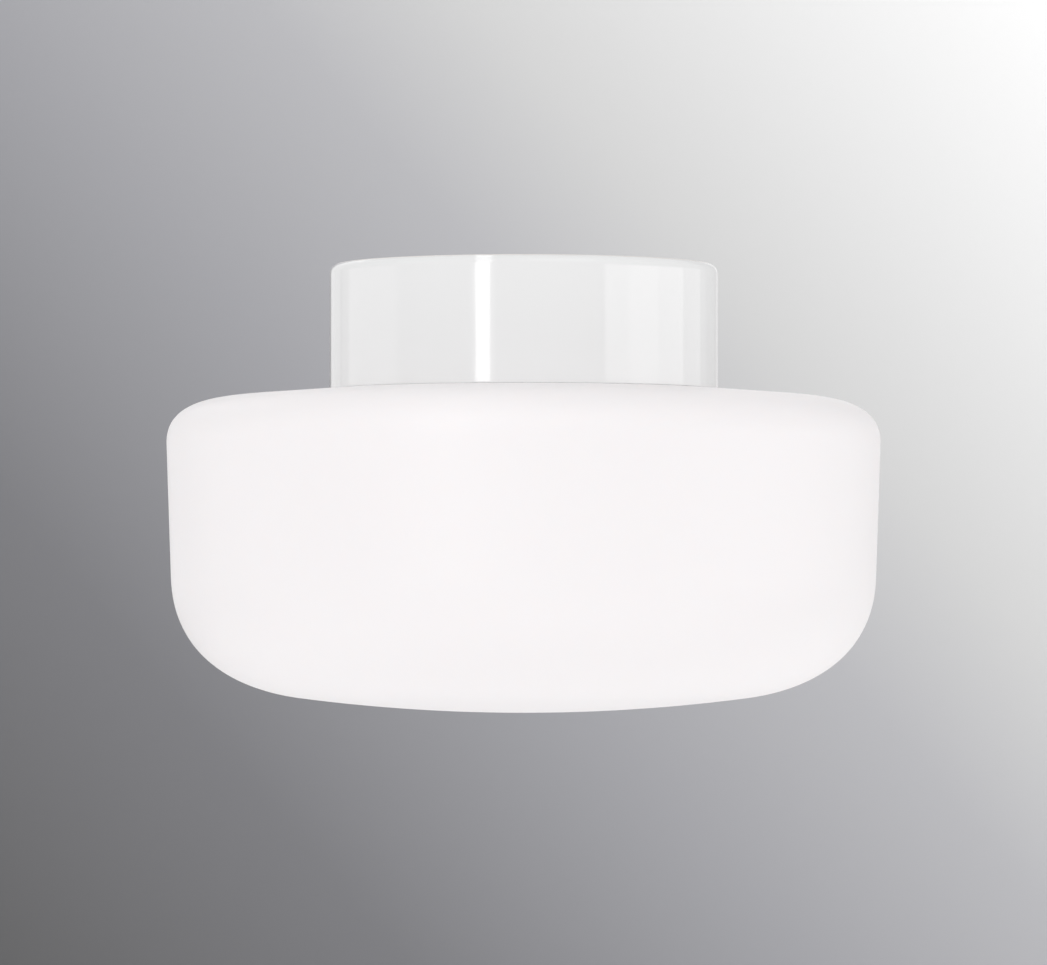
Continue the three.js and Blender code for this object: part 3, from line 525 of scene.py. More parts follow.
glaze.surface(glaze.mix(bare, glazed, biscuit), bare * 0.6 + cloud * 0.02 + 0.06, waver + grain)

# %% [markdown]
# ## Opal glass
# The shade is opal glass, etched in acid to a silky skin. A plain white would look like paint, and clear
# glass with a fog inside would render slowly. Subsurface scattering gives the soft inside light at little
# cost.

# %% Opal glass material
opal = Finish("matt_opal_glass", IOR=1.5, Subsurface_Weight=0.35, Subsurface_Scale=0.004,
              Subsurface_Radius=(1.0, 0.9, 0.85))
mist = opal.noise(0.07, 2)
milk = opal.mix(mist, (0.89, 0.855, 0.863, 1), (0.9, 0.869, 0.875, 1))
mould = opal.noise(0.03, 1) * 0.05
etching = opal.noise(0.0003, 2) * 0.01
opal.surface(milk, mist * 0.06 + 0.42, mould + etching)

# %% [markdown]
# ## Hand the pieces over
# Parenting by hand could move a piece with its body. So each finished piece gets its finish, hides the solid
# it stands for, and is parented to the empty of the body it moves with.

# %% Hand over the base and the shade
bodies = frame["record"]["behaviour"]["bodies"]


def dress(obj, node, finish):
    """Gives a piece its finish, and lets it stand for a solid and move with its body."""
    obj.data.materials.clear()
    obj.data.materials.append(finish.material)
    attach(obj, next(body for body, members in bodies.items() if node in members))
    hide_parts(node)
    low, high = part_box(node)
    solid, piece = ([round(x / mm, 1) for x in size] for size in (high - low, obj.dimensions))
    print(node, "solid", solid, "piece", piece)


dress(shade, "glass_shade", opal)
dress(base, "porcelain_base", glaze)

# %% [markdown]
# ## Rubber and silicone
# The seals are black rubber and white silicone, both matt and a little dusty. The dust could be painted on
# an image, but one soft cloud of noise lays it anywhere.

# %% Rubber and silicone
def rubbery(name, tone, warmth, roughness, grain_size, dust, **constants):
    """A moulded elastomer with a fine grain and clouds of dust."""
    finish = Finish(name, IOR=1.45, **constants)
    clouds = finish.noise(0.009, 4, 0.6)
    settled = clouds.above(0.56, 0.25) * dust
    color = finish.mix(settled, grey(tone, warmth), grey(tone * 0.5 + 0.28))
    grain = finish.noise(grain_size, 2) * 0.02 + clouds * 0.02
    finish.surface(color, clouds * 0.12 + roughness, grain)
    return finish


rubber = rubbery("black_rubber", 0.022, 0.0, 0.6, 0.0004, 0.18)
silicone = rubbery("white_silicone", 0.66, 0.008, 0.5, 0.0006, 0.1, Subsurface_Weight=0.3,
                   Subsurface_Scale=0.002, Subsurface_Radius=(1, 0.9, 0.8))

# %% [markdown]
# ## Seals
# One ring seals the base to the ceiling, a white one seals it to the glass. A torus would be quick, but
# these are moulded flat with round corners, so that section is spun.

# %% Model the two rings
def rounded(left, right, low, high, radius, steps=4):
    """A rectangular section with round corners."""
    return chain(
        arc(left + radius, low + radius, radius, 180, 270, steps),
        arc(right - radius, low + radius, radius, 270, 360, steps),
        arc(right - radius, high - radius, radius, 0, 90, steps),
        arc(left + radius, high - radius, radius, 90, 180, steps),
    )


dress(smooth(lathe("wall_ring", rounded(55.3, 58.7, -1.7, 0, 0.6))), "wall_gasket", rubber)
dress(smooth(lathe("shade_ring", rounded(55.2, 60.2, -41.2, -38.8, 0.7))), "shade_gasket", silicone)

# %% [markdown]
# ## Cable bush and blanking plug
# The cable comes in through a rubber bush. The second entry has the same bush, closed by a disc. Each could
# be drawn whole, but their sides are alike, so each adds its own middle to the same points.

# %% Model the bushes
bush_sides = chain(
    arc(10.9, -1.6, 0.4, 90, 0, 3), arc(10.9, -2.8, 0.4, 0, -90, 3), [(8.7, -3.2), (8.7, -10.3)],
    arc(10.9, -10.7, 0.4, 90, 0, 3), arc(10.9, -11.9, 0.4, 0, -60, 3),
)
funnel = chain(
    [(10, -13.3), (9.6, -13.3), (8.4, -14.2), (8.4, -14.5), (8, -14.5)],
    [(6.9, -15.3), (6.9, -15.6), (6.5, -15.6)],
    arc(5.7, -16, 0.3, 0, -90, 3), arc(4.5, -16, 0.3, 270, 180, 3), [(4.2, -1.5), (4.5, -1.2)],
)
plug_face = [(10.5, -12.3), (6.4, -12.3), (6, -12), (0, -12)]
plug_dish = [(0, -3.7), (5.6, -3.7), (6, -3.4), (6, -1.5), (6.3, -1.2)]
grommet = place(smooth(lathe("cable_bush", chain(bush_sides, funnel), 96)), y=37)
plug = place(smooth(lathe("blind_bush", chain(plug_dish, bush_sides, plug_face), 96)), y=-37)
dress(grommet, "cable_grommet", rubber)
dress(plug, "blanking_plug", rubber)

# %% [markdown]
# ## Metal finishes
# Zinc plate is bluish and cloudy, nickel is warmer, and brass darkens where it is handled. Four networks
# could be wired, but all are one kind: a metal whose colour and roughness drift in clouds, with fine marks.

# %% Metals
def metal(name, color, worn_color, roughness, drift, mark_size, stretch=(1, 1, 1)):
    finish = Finish(name, Metallic=1.0)
    clouds = finish.noise(0.004, 3, 0.6)
    worn = finish.mix(clouds.above(0.52, 0.3), (*color, 1), (*worn_color, 1))
    marks = finish.noise(mark_size, 2, 0.5, stretch)
    finish.surface(worn, clouds * drift + marks * 0.08 + roughness, marks, 0.02 * mm)
    return finish


zinc = metal("bright_zinc", (0.55, 0.57, 0.6), (0.48, 0.5, 0.54), 0.22, 0.2, 0.0006, (1, 1, 6))
nickel = metal("nickel_plate", (0.66, 0.63, 0.57), (0.6, 0.56, 0.5), 0.14, 0.14, 0.0006, (1, 1, 6))
brass = metal("plain_brass", (0.62, 0.42, 0.14), (0.48, 0.31, 0.11), 0.2, 0.2, 0.0005, (1, 1, 6))
copper = metal("bare_copper", (0.72, 0.36, 0.22), (0.55, 0.25, 0.14), 0.25, 0.2, 0.0005)

# %% [markdown]
# ## A screw
# A screw is turned, so it is spun, and its driver slot is cut last. Its thread could climb as the shade's
# does, but it sits in a hole, where a stack of rings looks the same and needs far fewer faces.

# %% Turn a screw
def screw(name, shank, head, head_height, head_z, end_z, thread=0.5):
    """An upright screw with its head below, and its thread as a stack of rings."""
    low = head_z - head_height
    crown = bend((0, low), (head * 0.55, low), (head, low + head_height * 0.25), (head, head_z - 0.25), 8)
    body = [(head, head_z - 0.15), (head - 0.15, head_z), (shank, head_z)]
    rings = []
    z = head_z + thread
    while z < end_z - 0.5:
        rings += [(shank, z), (shank - thread * 0.45, z + thread / 2)]
        z += thread
    end = [(shank, end_z - 0.45), (shank - 0.4, end_z), (0, end_z)]
    made = lathe(name, chain(crown, body, rings, end), 24)
    slot = block("slot", (-head - 1, -0.4, low - 1), (head + 1, 0.4, low + head_height * 0.45), 0.05)
    return smooth(cut(made, slot))


bracket_screw = screw("bracket_screw", 1.9, 3.6, 2.4, -14.1, -0.3, 0.7)
report(bracket_screw)

# %% [markdown]
# ## A nut
# A nut is a short bar with six sides, chamfered on a lathe and bored. A Bevel modifier would break all its
# edges alike, but only the corners are cut. So the bar is intersected with a spun cone.

# %% Make a nut
def nut(name, shank):
    radius, low = 2.1 * shank, -3.2
    high = low + 1.4 * shank
    edge = radius * 0.06
    bar = cutter(0, 0, radius, low, high, steps=6)
    chamfered = [(radius - edge, low), (radius, low + edge), (radius, high - edge), (radius - edge, high)]
    combine(bar, lathe("cone", [(0, low), *chamfered, (0, high)], 48), "INTERSECT")
    named(name)
    return smooth(cut(bar, cutter(0, 0, shank + 0.25, low - 1, high + 1, steps=24)))


bracket_nut = nut("bracket_nut", 1.9)
report(bracket_nut)

# %% [markdown]
# ## Place the screws and nuts
# Each size is modelled once and copied. Linked copies would save memory, but their places have to be in
# their own meshes. Every copy gets its own turn, because screws never stop with their slots in line.

# %% Place the screws and nuts
def seat(obj, node, finish):
    """Dresses a fitting. All stand turned, between the slots and the cable entries."""
    dress(place(obj, turn=fittings_turn), node, finish)


def fit(model, name, node, finish, x=0, y=0, z=0, turn=0):
    """Seats a copy of a model at its own place and turn."""
    select_only(model)
    bpy.ops.object.duplicate()
    seat(place(named(name), x, y, z, turn), node, finish)


def tip(obj, angle):
    """Tips an upright piece about X until it lies along Y."""
    select_only(obj)
    obj.rotation_euler = (angle, 0, 0)
    bpy.ops.object.transform_apply()
    return obj


for number, x in ((1, 29), (2, -29)):
    fit(bracket_screw, f"bracket_bolt_{number}", f"bracket_screw_{number}", zinc, x, turn=0.7 * number)
    fit(bracket_nut, f"back_nut_{number}", f"bracket_nut_{number}", brass, x, turn=0.3 * number)
seat(place(nut("block_back_nut", 1.5), block_x, block_y, turn=0.2), "terminal_block_nut", brass)
block_screw = screw("block_screw", 1.5, 2.1, 1.7, -15.3, -0.3)
seat(place(block_screw, block_x, block_y, turn=1.1), "terminal_block_screw", zinc)
seat(place(screw("earth_clamp", 1.5, 2.8, 1.7, -15.6, -11.3), -38, turn=0.9), "earth_screw", brass)
holder_screw = screw("holder_screw", 1.5, 2.8, 1.7, -23.1, -12)
for number, x in ((1, 8), (2, -8)):
    fit(holder_screw, f"holder_bolt_{number}", f"lampholder_screw_{number}", zinc, x, turn=0.8 * number)
clamp_screw = screw("clamp_screw", 1.25, 1.9, 2, -19.8, -17.9, 0.4)
for i in range(6):
    x, y, turn = 10 * (i // 2 - 1), block_y + (-4, 4)[i % 2], 0.55 * i + 0.3
    fit(clamp_screw, f"pole_screw_{i + 1}", f"terminal_screw_{i + 1}", zinc, x, y, turn=turn)
contact_screw = tip(screw("contact_screw", 1.5, 2.8, 1.7, 0, 4.4), pi / 2)
for pole, y, turn in (("live", 15.8, pi), ("neutral", -15.8, 0)):
    fit(contact_screw, pole + "_clamp_bolt", pole + "_contact_screw", zinc, 0, y, -19.1, turn)
for model in (bracket_screw, bracket_nut, holder_screw, clamp_screw, contact_screw):
    bpy.data.objects.remove(model)

# %% [markdown]
# ## The bracket
# A zinc-plated strap carries the lampholder. It could be a plane, thickened and bent. Extruding its outline
# is exact, a stadium-shaped tool rounds its ends, and a Bevel gives the small break of a pressed edge.

# %% Model the bracket
def plate(name, points, width, turn=0):
    """A closed outline in X and Z, filled and given a width along Y."""
    obj = draw(name, points)
    with editing():
        pick()
        bpy.ops.mesh.edge_face_add()
        extrude(y=width)
        close_skin()
        bpy.ops.transform.translate(value=(0, -width / 2 * mm, 0))
    return place(obj, turn=turn)


def break_edges(obj, width, angle=40):
    return smooth(modify(obj, "BEVEL", width=width * mm, segments=2, limit_method="ANGLE",
                         angle_limit=radians(angle), use_clamp_overlap=True))


thickness, strap_width = 1.5, 14
top_line = [(-44, -12.3), (-23, -12.3), (-20, -13.8), (20, -13.8), (23, -12.3), (35, -12.3)]
bottom_line = [(x, z - thickness) for x, z in reversed(top_line)]
bracket = plate("holder_bracket", top_line + bottom_line, strap_width)
stadium = cutter(0, 0, strap_width / 2, -18, -10, reach=1)
stretch(stadium, 1, 27)
stretch(stadium, -1, -36)
combine(bracket, stadium, "INTERSECT")
screw_holes = [(29, 2.2), (-29, 2.2), (8, 1.8), (-8, 1.8), (-38, 1.8)]
cut(bracket, join([cutter(x, 0, r, -18, -10, steps=32) for x, r in screw_holes]))
seat(break_edges(bracket, 0.25), "lampholder_bracket", zinc)

# %% [markdown]
# ## Contacts and spring
# Two brass strips and a springy nickel tongue carry the current to the bulb. A flat plate could be bent
# with a modifier, but bends and thickness are exact when the side view is extruded.

# %% Bend the contacts and the spring
def cross_cutter(x, z, radius, low, high):
    """A round tool that lies along Y."""
    return place(tip(cutter(0, 0, radius, low, high, steps=32), -pi / 2), x, 0, z)


def contact_strip(name, reach, turn):
    """A strip down its slot, with a foot that reaches in under the shell."""
    outline = [(14, -17), (14, -26.4), (13.8, -26.8), (13.4 - reach, -26.8), (13.4 - reach, -26.2),
               (13.2, -26.2), (13.4, -26), (13.4, -17)]
    made = cut(plate(name, outline, 5, pi / 2), cross_cutter(0, -19.1, 1.8, 12, 15))
    return place(break_edges(made, 0.12), turn=turn)


seat(contact_strip("live_strip", 5.8, 0), "live_contact", brass)
seat(contact_strip("neutral_strip", 2.8, pi), "neutral_contact", brass)
spring_backs = [(12, -27.1), (8.5, -27.1), (7.5, -27.15), (4, -27.62), (3, -27.7), (-3, -27.7),
                (-3.8, -27.6), (-4.5, -27.4)]
spring_fronts = [(x, z - 0.5) for x, z in reversed(spring_backs)]
spring = plate("centre_spring", spring_backs + spring_fronts, 4.4, pi / 2)
seat(break_edges(spring, 0.1), "contact_spring", nickel)

# %% [markdown]
# ## Plastic and ceramic
# The terminal block is cream plastic, the lampholder's body ceramic. One colour would do from afar, but up
# close the tone drifts and dark specks lie in it. One helper does, as they differ in a few numbers.

# %% Block plastic and ceramic
def moulded(name, tone, warmth, roughness, grain_size, relief, **constants):
    finish = Finish(name, IOR=1.5, **constants)
    clouds = finish.noise(0.012, 3)
    speck = finish.noise(0.0007, 1).above(0.74, 0.06)
    body = finish.mix(clouds, grey(tone, warmth), grey(tone * 0.94, warmth * 1.4))
    color = finish.mix(speck * 0.25, body, grey(tone * 0.6, warmth * 2))
    finish.surface(color, clouds * 0.1 + roughness, finish.noise(grain_size, 2), relief * mm)
    return finish


block_plastic = moulded("block_plastic", 0.76, 0.03, 0.4, 0.0004, 0.015)
ceramic = moulded("lampholder_ceramic", 0.74, 0.035, 0.3, 0.0008, 0.02)

# %% [markdown]
# ## Terminal block
# The block is one moulding with a tower for each pole. Three towers could be set on a foot, but one
# extruded comb has no seams. The hole of its own screw has two widths, cut one after the other because they
# overlap.

# %% Model the block
poles = (-10, 0, 10)
comb = [(-15.3, -10.3), (-15.3, -15.3)]
for x in poles:
    comb += [(x - 4.1, -15.3), (x - 4.1, -24.1), (x - 2.9, -25.3)]
    comb += [(x + 2.9, -25.3), (x + 4.1, -24.1), (x + 4.1, -15.3)]
comb += [(15.3, -15.3), (15.3, -10.3)]
terminal_block = break_edges(place(plate("pole_block", comb, 16), y=block_y), 0.35, 25)
bores = [cross_cutter(x, -17, 2.8, 26, 45) for x in poles]
wells = [cutter(x, y, 2.2, -27, -17, steps=32) for x in poles for y in (block_y - 4, block_y + 4)]
wells += [cutter(block_x, block_y, 2.4, -27, -15, steps=32)]
cut(terminal_block, join(bores), join(wells), cutter(block_x, block_y, 1.8, -16, -9, steps=32))
seat(smooth(terminal_block), "terminal_block", block_plastic)

# %% [markdown]
# ## Brass sleeves
# In each tower lies a brass sleeve with two tapped holes. A cylinder with a hole would do, but sawn ends
# are always broken, so the wall's section is drawn with chamfers, spun upright and tipped over.

# %% Model the sleeves
sleeve_wall = [(1.5, -6.8), (1.7, -7), (2.3, -7), (2.5, -6.8), (2.5, 6.8), (2.3, 7), (1.7, 7), (1.5, 6.8)]
sleeve = tip(lathe("sleeve", sleeve_wall, 40), -pi / 2)
smooth(cut(sleeve, join([cutter(0, y, 1.55, -4, 0, steps=24) for y in (-4, 4)])))
for number, x in enumerate(poles, 1):
    fit(sleeve, f"pole_sleeve_{number}", f"terminal_sleeve_{number}", brass, x, block_y, -17)
bpy.data.objects.remove(sleeve)

# %% [markdown]
# ## Lampholder body
# The body is pressed ceramic. It is spun, and then pockets, slots and wells are cut. One joined tool would
# be quicker, but they overlap. Each differs from its neighbours by a hair, because a Boolean goes wrong on
# faces in one plane.

# %% Model the ceramic body
holder = lathe("holder_body", chain(
    [(0, -15.6)], arc(17.2, -16.4, 0.8, 90, 0, 4), [(18, -28.1)],
    bend((18, -28.1), (18, -29.4), (20.5, -29.4), (20.5, -30.8), 6),
    arc(19, -49.1, 1.5, 0, -90, 6), arc(16.8, -49.8, 0.8, 270, 180, 4),
    [(16, -46.1), (15.8, -45.7), (14.6, -44.5), (14.6, -26.8), (10.8, -26.8), (10.8, -25.6), (0, -25.6)],
), 120)
for turn in (0, pi):
    cores = (
        block("pocket", (-5.2, 13.1, -22.6), (5.2, 22, -14), 0.6),
        block("strip_slot", (-2.8, 13.15, -28), (2.8, 14.3, -22), 0.1),
        block("foot_recess", (-2.9, 2, -28), (2.9, 14.2, -25.9), 0.1),
        cross_cutter(0, -19.1, 1.8, 11.1, 14),
        cutter(8, 0, 1.8, -28, -14, steps=32),
        cutter(8, 0, 3.1, -28, -22.8, steps=40),
    )
    cut(holder, *(place(core, turn=turn) for core in cores))
seat(smooth(holder), "lampholder_body", ceramic)

# %% [markdown]
# ## The rolled thread
# The lampholder's shell and the bulb's cap are thin metal with a rolled thread. A ridge on a tube would
# have the wrong inside. So a wave is swept up a screw, cut off level, and faded into a plain round rim.

# %% Roll the two skins
def rolled_thread(name, valley, depth, low, high, end_radius, pitch=3.629, steps=96):
    """The skin of a rolled thread, which fades to the end radius over half a turn."""
    first = math.floor(low / pitch) - 1
    wave = []
    for i in range(13):
        z = (first + i / 12) * pitch
        wave.append((valley + depth * (1 + cos(2 * pi * z / pitch)) / 2, z))
    turns = math.ceil((high - low) / pitch) + 2
    obj = climb(draw(name, wave, closed=False), pitch, turns, steps)
    with editing():
        pick()
        bpy.ops.mesh.remove_doubles(threshold=2e-6)
        for z, side in ((low, True), (high, False)):
            pick()
            bpy.ops.mesh.bisect(plane_co=(0, 0, z * mm), plane_no=(0, 0, 1), threshold=1e-7,
                                clear_inner=side, clear_outer=not side)
        close_skin()
    for v in obj.data.vertices:
        fade = min(max(min(v.co.z / mm - low, high - v.co.z / mm) / (pitch / 2), 0), 1)
        radius = math.hypot(v.co.x, v.co.y)
        scale = fade + (1 - fade) * end_radius * mm / radius
        v.co.x, v.co.y = v.co.x * scale, v.co.y * scale
    return obj


shell = rolled_thread("holder_shell", 12.45, 1.1, -45.4, -28.4, 13.55)
cap = rolled_thread("cap_shell", 12, 1.1, -50, -34.2, 12)
report(shell)
report(cap)

# %% [markdown]
# ## Shell and cap
# Each skin gets its rims: its open edge is extruded in steps, as a press folds metal. The inside could be
# drawn as the shade's was, but a Solidify modifier keeps one thickness round all the waves.

# %% Rims and walls
def rim(obj, z, moves):
    """Extrudes the open edge at a height in steps, each a scale about the axis and a rise."""
    select_only(obj)
    select_where(obj, lambda co: abs(co.z - z * mm) < 1e-6)
    with editing():
        for scale, rise in moves:
            extrude(z=rise)
            bpy.ops.transform.resize(value=(scale, scale, 1), center_override=(0, 0, 0))


def thicken(obj, wall, side):
    """Gives a skin a wall on its outer side, 1, or its inner side, -1."""
    return modify(obj, "SOLIDIFY", thickness=wall * mm, offset=side, use_even_offset=True)


rim(shell, -28.4, [(1, 0.3), (13.2 / 13.55, 0.3), (10.8 / 13.2, 0)])
cut(thicken(shell, 0.5, 1), block("notch", (-3.25, 1, -27.9), (3.25, 13.6, -26), 0.3))
seat(smooth(shell, 40), "lampholder_shell", nickel)
rim(cap, -34.2, [(1, 0.4), (11.9 / 12, 0.35), (11.5 / 11.9, 0.2)])
rim(cap, -50, [(13.1 / 12, -0.3), (1, -3.5), (0.985, -0.3)])
seat(smooth(thicken(cap, 0.6, -1), 40), "bulb_cap", nickel)

# %% [markdown]
# ## Bulb
# The lamp is bought without a bulb, but one shows what the lampholder is for. One spun body would be quick,
# but the real pieces have thin joints between them, so each is spun. Real transmission would be slow, so
# the dome has subsurface scattering.

# %% Model the bulb
bulb_plastic = moulded("bulb_plastic", 0.85, 0.005, 0.22, 0.0012, 0.01)
frosted = moulded("frosted_diffuser", 0.88, 0.015, 0.45, 0.0005, 0.01, Subsurface_Weight=0.5,
                  Subsurface_Scale=0.004, Subsurface_Radius=(1, 0.9, 0.75))
black_glass = moulded("black_glass", 0.012, 0.0, 0.06, 0.002, 0.02)
solder = chain(
    [(0, -28.5), (1.2, -28.5), (2.1, -28.75), (2.6, -28.95)],
    arc(4.1, -29.3, 0.4, 70, 0, 3), arc(4.3, -29.4, 0.2, 0, -90, 2), [(0, -29.6)],
)
seat(smooth(lathe("bulb_tip", solder, 64)), "bulb_contact", brass)
insulator = chain(
    [(0, -29.9), (4.4, -29.9)], bend((4.8, -30.1), (7.5, -30.6), (9.6, -31.6), (10.9, -33.1), 6),
    [(11, -33.4), (11, -38), (0, -38)],
)
seat(smooth(lathe("bulb_glass", insulator, 80)), "bulb_insulator", black_glass)
housing = chain(
    [(0, -40.7), (10.8, -40.7), (11, -40.9), (11, -54.5)], arc(14.2, -54.9, 0.4, 90, 0, 3),
    bend((14.6, -57.5), (14.6, -66.17), (27.5, -74.83), (27.5, -83.3), 18),
    [(27.3, -83.5), (26, -83.5), (26, -85.7), (25.8, -85.9), (0, -85.9)],
)
seat(smooth(lathe("bulb_neck", housing, 120)), "bulb_housing", bulb_plastic)
dome_curve = bend((27.5, -93.8), (27.5, -110.9), (15.18, -124.8), (0, -124.8), 24)
dome_outside = chain([(27.3, -83.8), (27.5, -84)], dome_curve)
dome_inside = offset(dome_outside, 1.2)
dome_inside[-1] = (0, -123.6)
dome = lathe("bulb_dome", [*dome_outside, *reversed(dome_inside)], 120)
seat(smooth(dome), "bulb_diffuser", frosted)

# %% [markdown]
# ## Insulation
# The leads are brown, blue, and green with yellow stripes. The stripes could be a mask in one material, but
# they run along the lead. So yellow is a finish of its own, on some of the earth lead's faces.

# %% Insulation finishes
def insulation(name, color):
    finish = Finish(name, IOR=1.5)
    clouds = finish.noise(0.006, 2)
    light = tuple(min(c * 1.15 + 0.01, 1) for c in color)
    drift = finish.mix(clouds, (*color, 1), (*light, 1))
    finish.surface(drift, clouds * 0.15 + 0.32, finish.noise(0.0008, 2), 0.02 * mm)
    return finish


brown = insulation("brown_insulation", (0.13, 0.045, 0.018))
blue = insulation("blue_insulation", (0.03, 0.13, 0.4))
green = insulation("green_insulation", (0.05, 0.26, 0.05))
yellow = insulation("yellow_stripe", (0.72, 0.56, 0.04))

# %% [markdown]
# ## The leads' routes
# A lead sags a little from its sleeve and turns up to its screw. A Bezier curve with handles could follow
# that, but a smooth curve through a few points is easier to change. The time between two points is the root
# of their distance, so that it doesn't swing out.

# %% Routes of the leads
def route(points, steps=10):
    """A smooth path through points in mm, with even speed between them."""
    ends = [[2 * a - b for a, b in zip(near, far)] for near, far in (points[:2], points[-1:-3:-1])]
    stations = [Vector(p) for p in (ends[0], *points, ends[1])]
    path = []
    for a, b, c, d in zip(stations, stations[1:], stations[2:], stations[3:]):
        t = [0.0]
        for p, q in ((a, b), (b, c), (c, d)):
            t.append(t[-1] + math.sqrt((q - p).length))
        for i in range(steps):
            u = t[1] + (t[2] - t[1]) * i / steps
            ab, bc, cd = (p.lerp(q, (u - s) / (e - s))
                          for p, q, s, e in zip((a, b, c), (b, c, d), t, t[1:]))
            abc, bcd = ab.lerp(bc, (u - t[0]) / (t[2] - t[0])), bc.lerp(cd, (u - t[1]) / (t[3] - t[1]))
            path.append(abc.lerp(bcd, (u - t[1]) / (t[2] - t[1])))
    return [*path, stations[-2]]


def run_lengths(path):
    lengths = [0.0]
    for p, q in zip(path, path[1:]):
        lengths.append(lengths[-1] + (q - p).length)
    return lengths


lead_points = {
    "live_lead": [(0.5, 23.6, -14.6), (1.8, 19, -12), (2.4, 15.6, -12.6), (2.4, 14.9, -14.4),
                  (2.4, 14.9, -21)],
    "neutral_lead": [(13.6, 23, -18), (20, 14.2, -19), (23.8, 3, -19.3), (21.4, -11.6, -18.5),
                     (13, -20.4, -15.4), (5.4, -19.2, -12.2), (2.6, -15.8, -12.5), (2.4, -14.9, -14.4),
                     (2.4, -14.9, -21)],
    "earth_lead": [(-15, 23.4, -18), (-24, 18.6, -18), (-31.5, 13.6, -16.6), (-35.6, 8.2, -14.7),
                   (-35.6, -1.5, -14.7)],
}
lead_paths = {}
for node, x in (("live_lead", 0), ("neutral_lead", 10), ("earth_lead", -10)):
    lead_paths[node] = route([(x, 33, -17), (x, 28.5, -17), (x, 26.3, -17), *lead_points[node]])
    print(node, round(run_lengths(lead_paths[node])[-1], 1), "mm long")

# %% [markdown]
# ## The leads
# Each lead is copper strands in insulation. Separate strands would need thousands of faces that nobody
# sees. So a curve sweeps one section along the route: a circle, or a twisted ring with seven lobes.

# %% Model the leads
def trimmed(path, start, final):
    """A path without a length at each end."""
    lengths = run_lengths(path)
    return [p for p, run in zip(path, lengths) if start <= run <= lengths[-1] - final]


def curve(name, points, twist=0, **settings):
    """A curve through points in mm, whose tilt grows by a twist from point to point."""
    data = bpy.data.curves.new(name, "CURVE")
    for setting, value in settings.items():
        setattr(data, setting, value)
    spline = data.splines.new("POLY")
    spline.points.add(len(points) - 1)
    for i, (point, p) in enumerate(zip(spline.points, points)):
        point.co, point.tilt = (*(c * mm for c in p), 1), twist * i
    return add(name, data)


def strands(name, radius, lobes):
    """The section of a bundle, a closed curve with a lobe for each strand."""
    ring = []
    for i in range(lobes * 4):
        angle = 2 * pi * i / (lobes * 4)
        reach = radius * (0.88 + 0.12 * cos(lobes * angle))
        ring.append((reach * cos(angle), reach * sin(angle), 0))
    section = curve(name, ring)
    section.data.splines[0].use_cyclic_u = True
    return section


def tube(name, path, twist=0, **settings):
    """A bar along a path, as a mesh."""
    select_only(curve(name, path, twist, dimensions="3D", use_fill_caps=True, **settings))
    bpy.ops.object.convert(target="MESH")
    with editing():
        close_skin(1e-7)
    return smooth(bpy.context.object, 50)


bare_start = 6.6
bundle = strands("strands", 0.6, 7)
for node, bare_end, finish in (("live_lead", 4.6, brown), ("neutral_lead", 4.6, blue),
                               ("earth_lead", 11.6, green)):
    path = lead_paths[node]
    covered = trimmed(path, bare_start, bare_end)
    cover = tube(node + "_cover", covered, bevel_depth=1.2 * mm, bevel_resolution=4)
    seat(cover, node, finish)
    if finish is green:
        cover.data.materials.append(yellow.material)
        for face in cover.data.polygons:
            face.material_index = int(face.index % 12 in (0, 1, 6, 7))
    wires = tube(node + "_wires", path, 0.35, bevel_mode="OBJECT", bevel_object=bundle)
    place(wires, turn=fittings_turn)
    wires.data.materials.append(copper.material)
    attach(wires, "base")
bpy.data.objects.remove(bundle)

# %% [markdown]
# ## Backdrop and floor
# The backdrop is painted with light: a colour ramp along a slant paints it darker at the lower left and
# lighter at the upper right, as uneven light would fall on it. A flat picture would light nothing, so it is
# a real sheet that curves up, and it glows a little with the same painted ramp, though it is no lamp. Past
# the edge of the picture it is an even grey, which the glaze mirrors. The floor could be the same sheet,
# but on its own it can be hidden from the camera, which clears the views from below.

# %% Backdrop and floor
floor_z, wall_y, wall_height, sheet_width, sweep_radius = -0.75, 1.9, 2.2, 3.6, 0.3


def stage(obj, finish):
    """Dresses a piece of the studio."""
    obj.data.materials.append(finish.material)
    bpy.context.view_layer.update()
    print(obj.name, [round(x, 2) for x in obj.dimensions], "m")


def level_sheet(name, y, depth):
    bpy.ops.mesh.primitive_plane_add(size=1, location=(0, y, floor_z))
    obj = named(name)
    obj.scale = (sheet_width, depth, 1)
    bpy.ops.object.transform_apply()
    return obj


backdrop = level_sheet("backdrop", wall_y - 0.3, 0.6)
select_where(backdrop, lambda co: co.y > wall_y - 0.01)
with editing():
    extrude(z=wall_height / mm)
smooth(modify(backdrop, "BEVEL", width=sweep_radius, segments=16), 60)

# Painted light: the sheet glows a little on its own, though it is no lamp.
sheet = Finish("backdrop_painted_light", Roughness=0.95, Specular_IOR_Level=0.1, Emission_Strength=0.25)
rise = sheet.axis("X") * 0.7 + sheet.axis("Z") * 0.61 + 0.5
steps = [(0, 0.096, 1), (0.24, 0.182, 1.06), (0.42, 0.32, 1.06), (0.55, 0.425, 1.04), (0.65, 0.57, 1),
         (0.9, 0.85, 1)]
stops = [(position, (tone, tone, tone * blueness, 1)) for position, tone, blueness in steps]
# Painted shade and light: the ramp makes the backdrop darker at the lower left and lighter at the upper
# right.
painted_light_ramp = sheet.node("ValToRGB", {"stops": stops}, {0: rise})
beyond = sheet.axis("X").above(0.52, 0.15)
wall = sheet.mix(beyond, painted_light_ramp, grey(0.55))
wall_share = sheet.axis("Z").above(-0.52, 0.2)
# The painted ramp goes into both the wall's colour and its glow; the floor keeps an even grey.
sheet.set("Base Color", sheet.mix(wall_share, grey(0.85), wall))
sheet.set("Emission Color", sheet.mix(wall_share, grey(0), wall))
stage(backdrop, sheet)
floor = level_sheet("floor", wall_y - 2.8, 4.4)
floor.visible_camera = False
stage(floor, Finish("floor_sheet", Base_Color=grey(0.85), Roughness=0.95, Specular_IOR_Level=0.1))

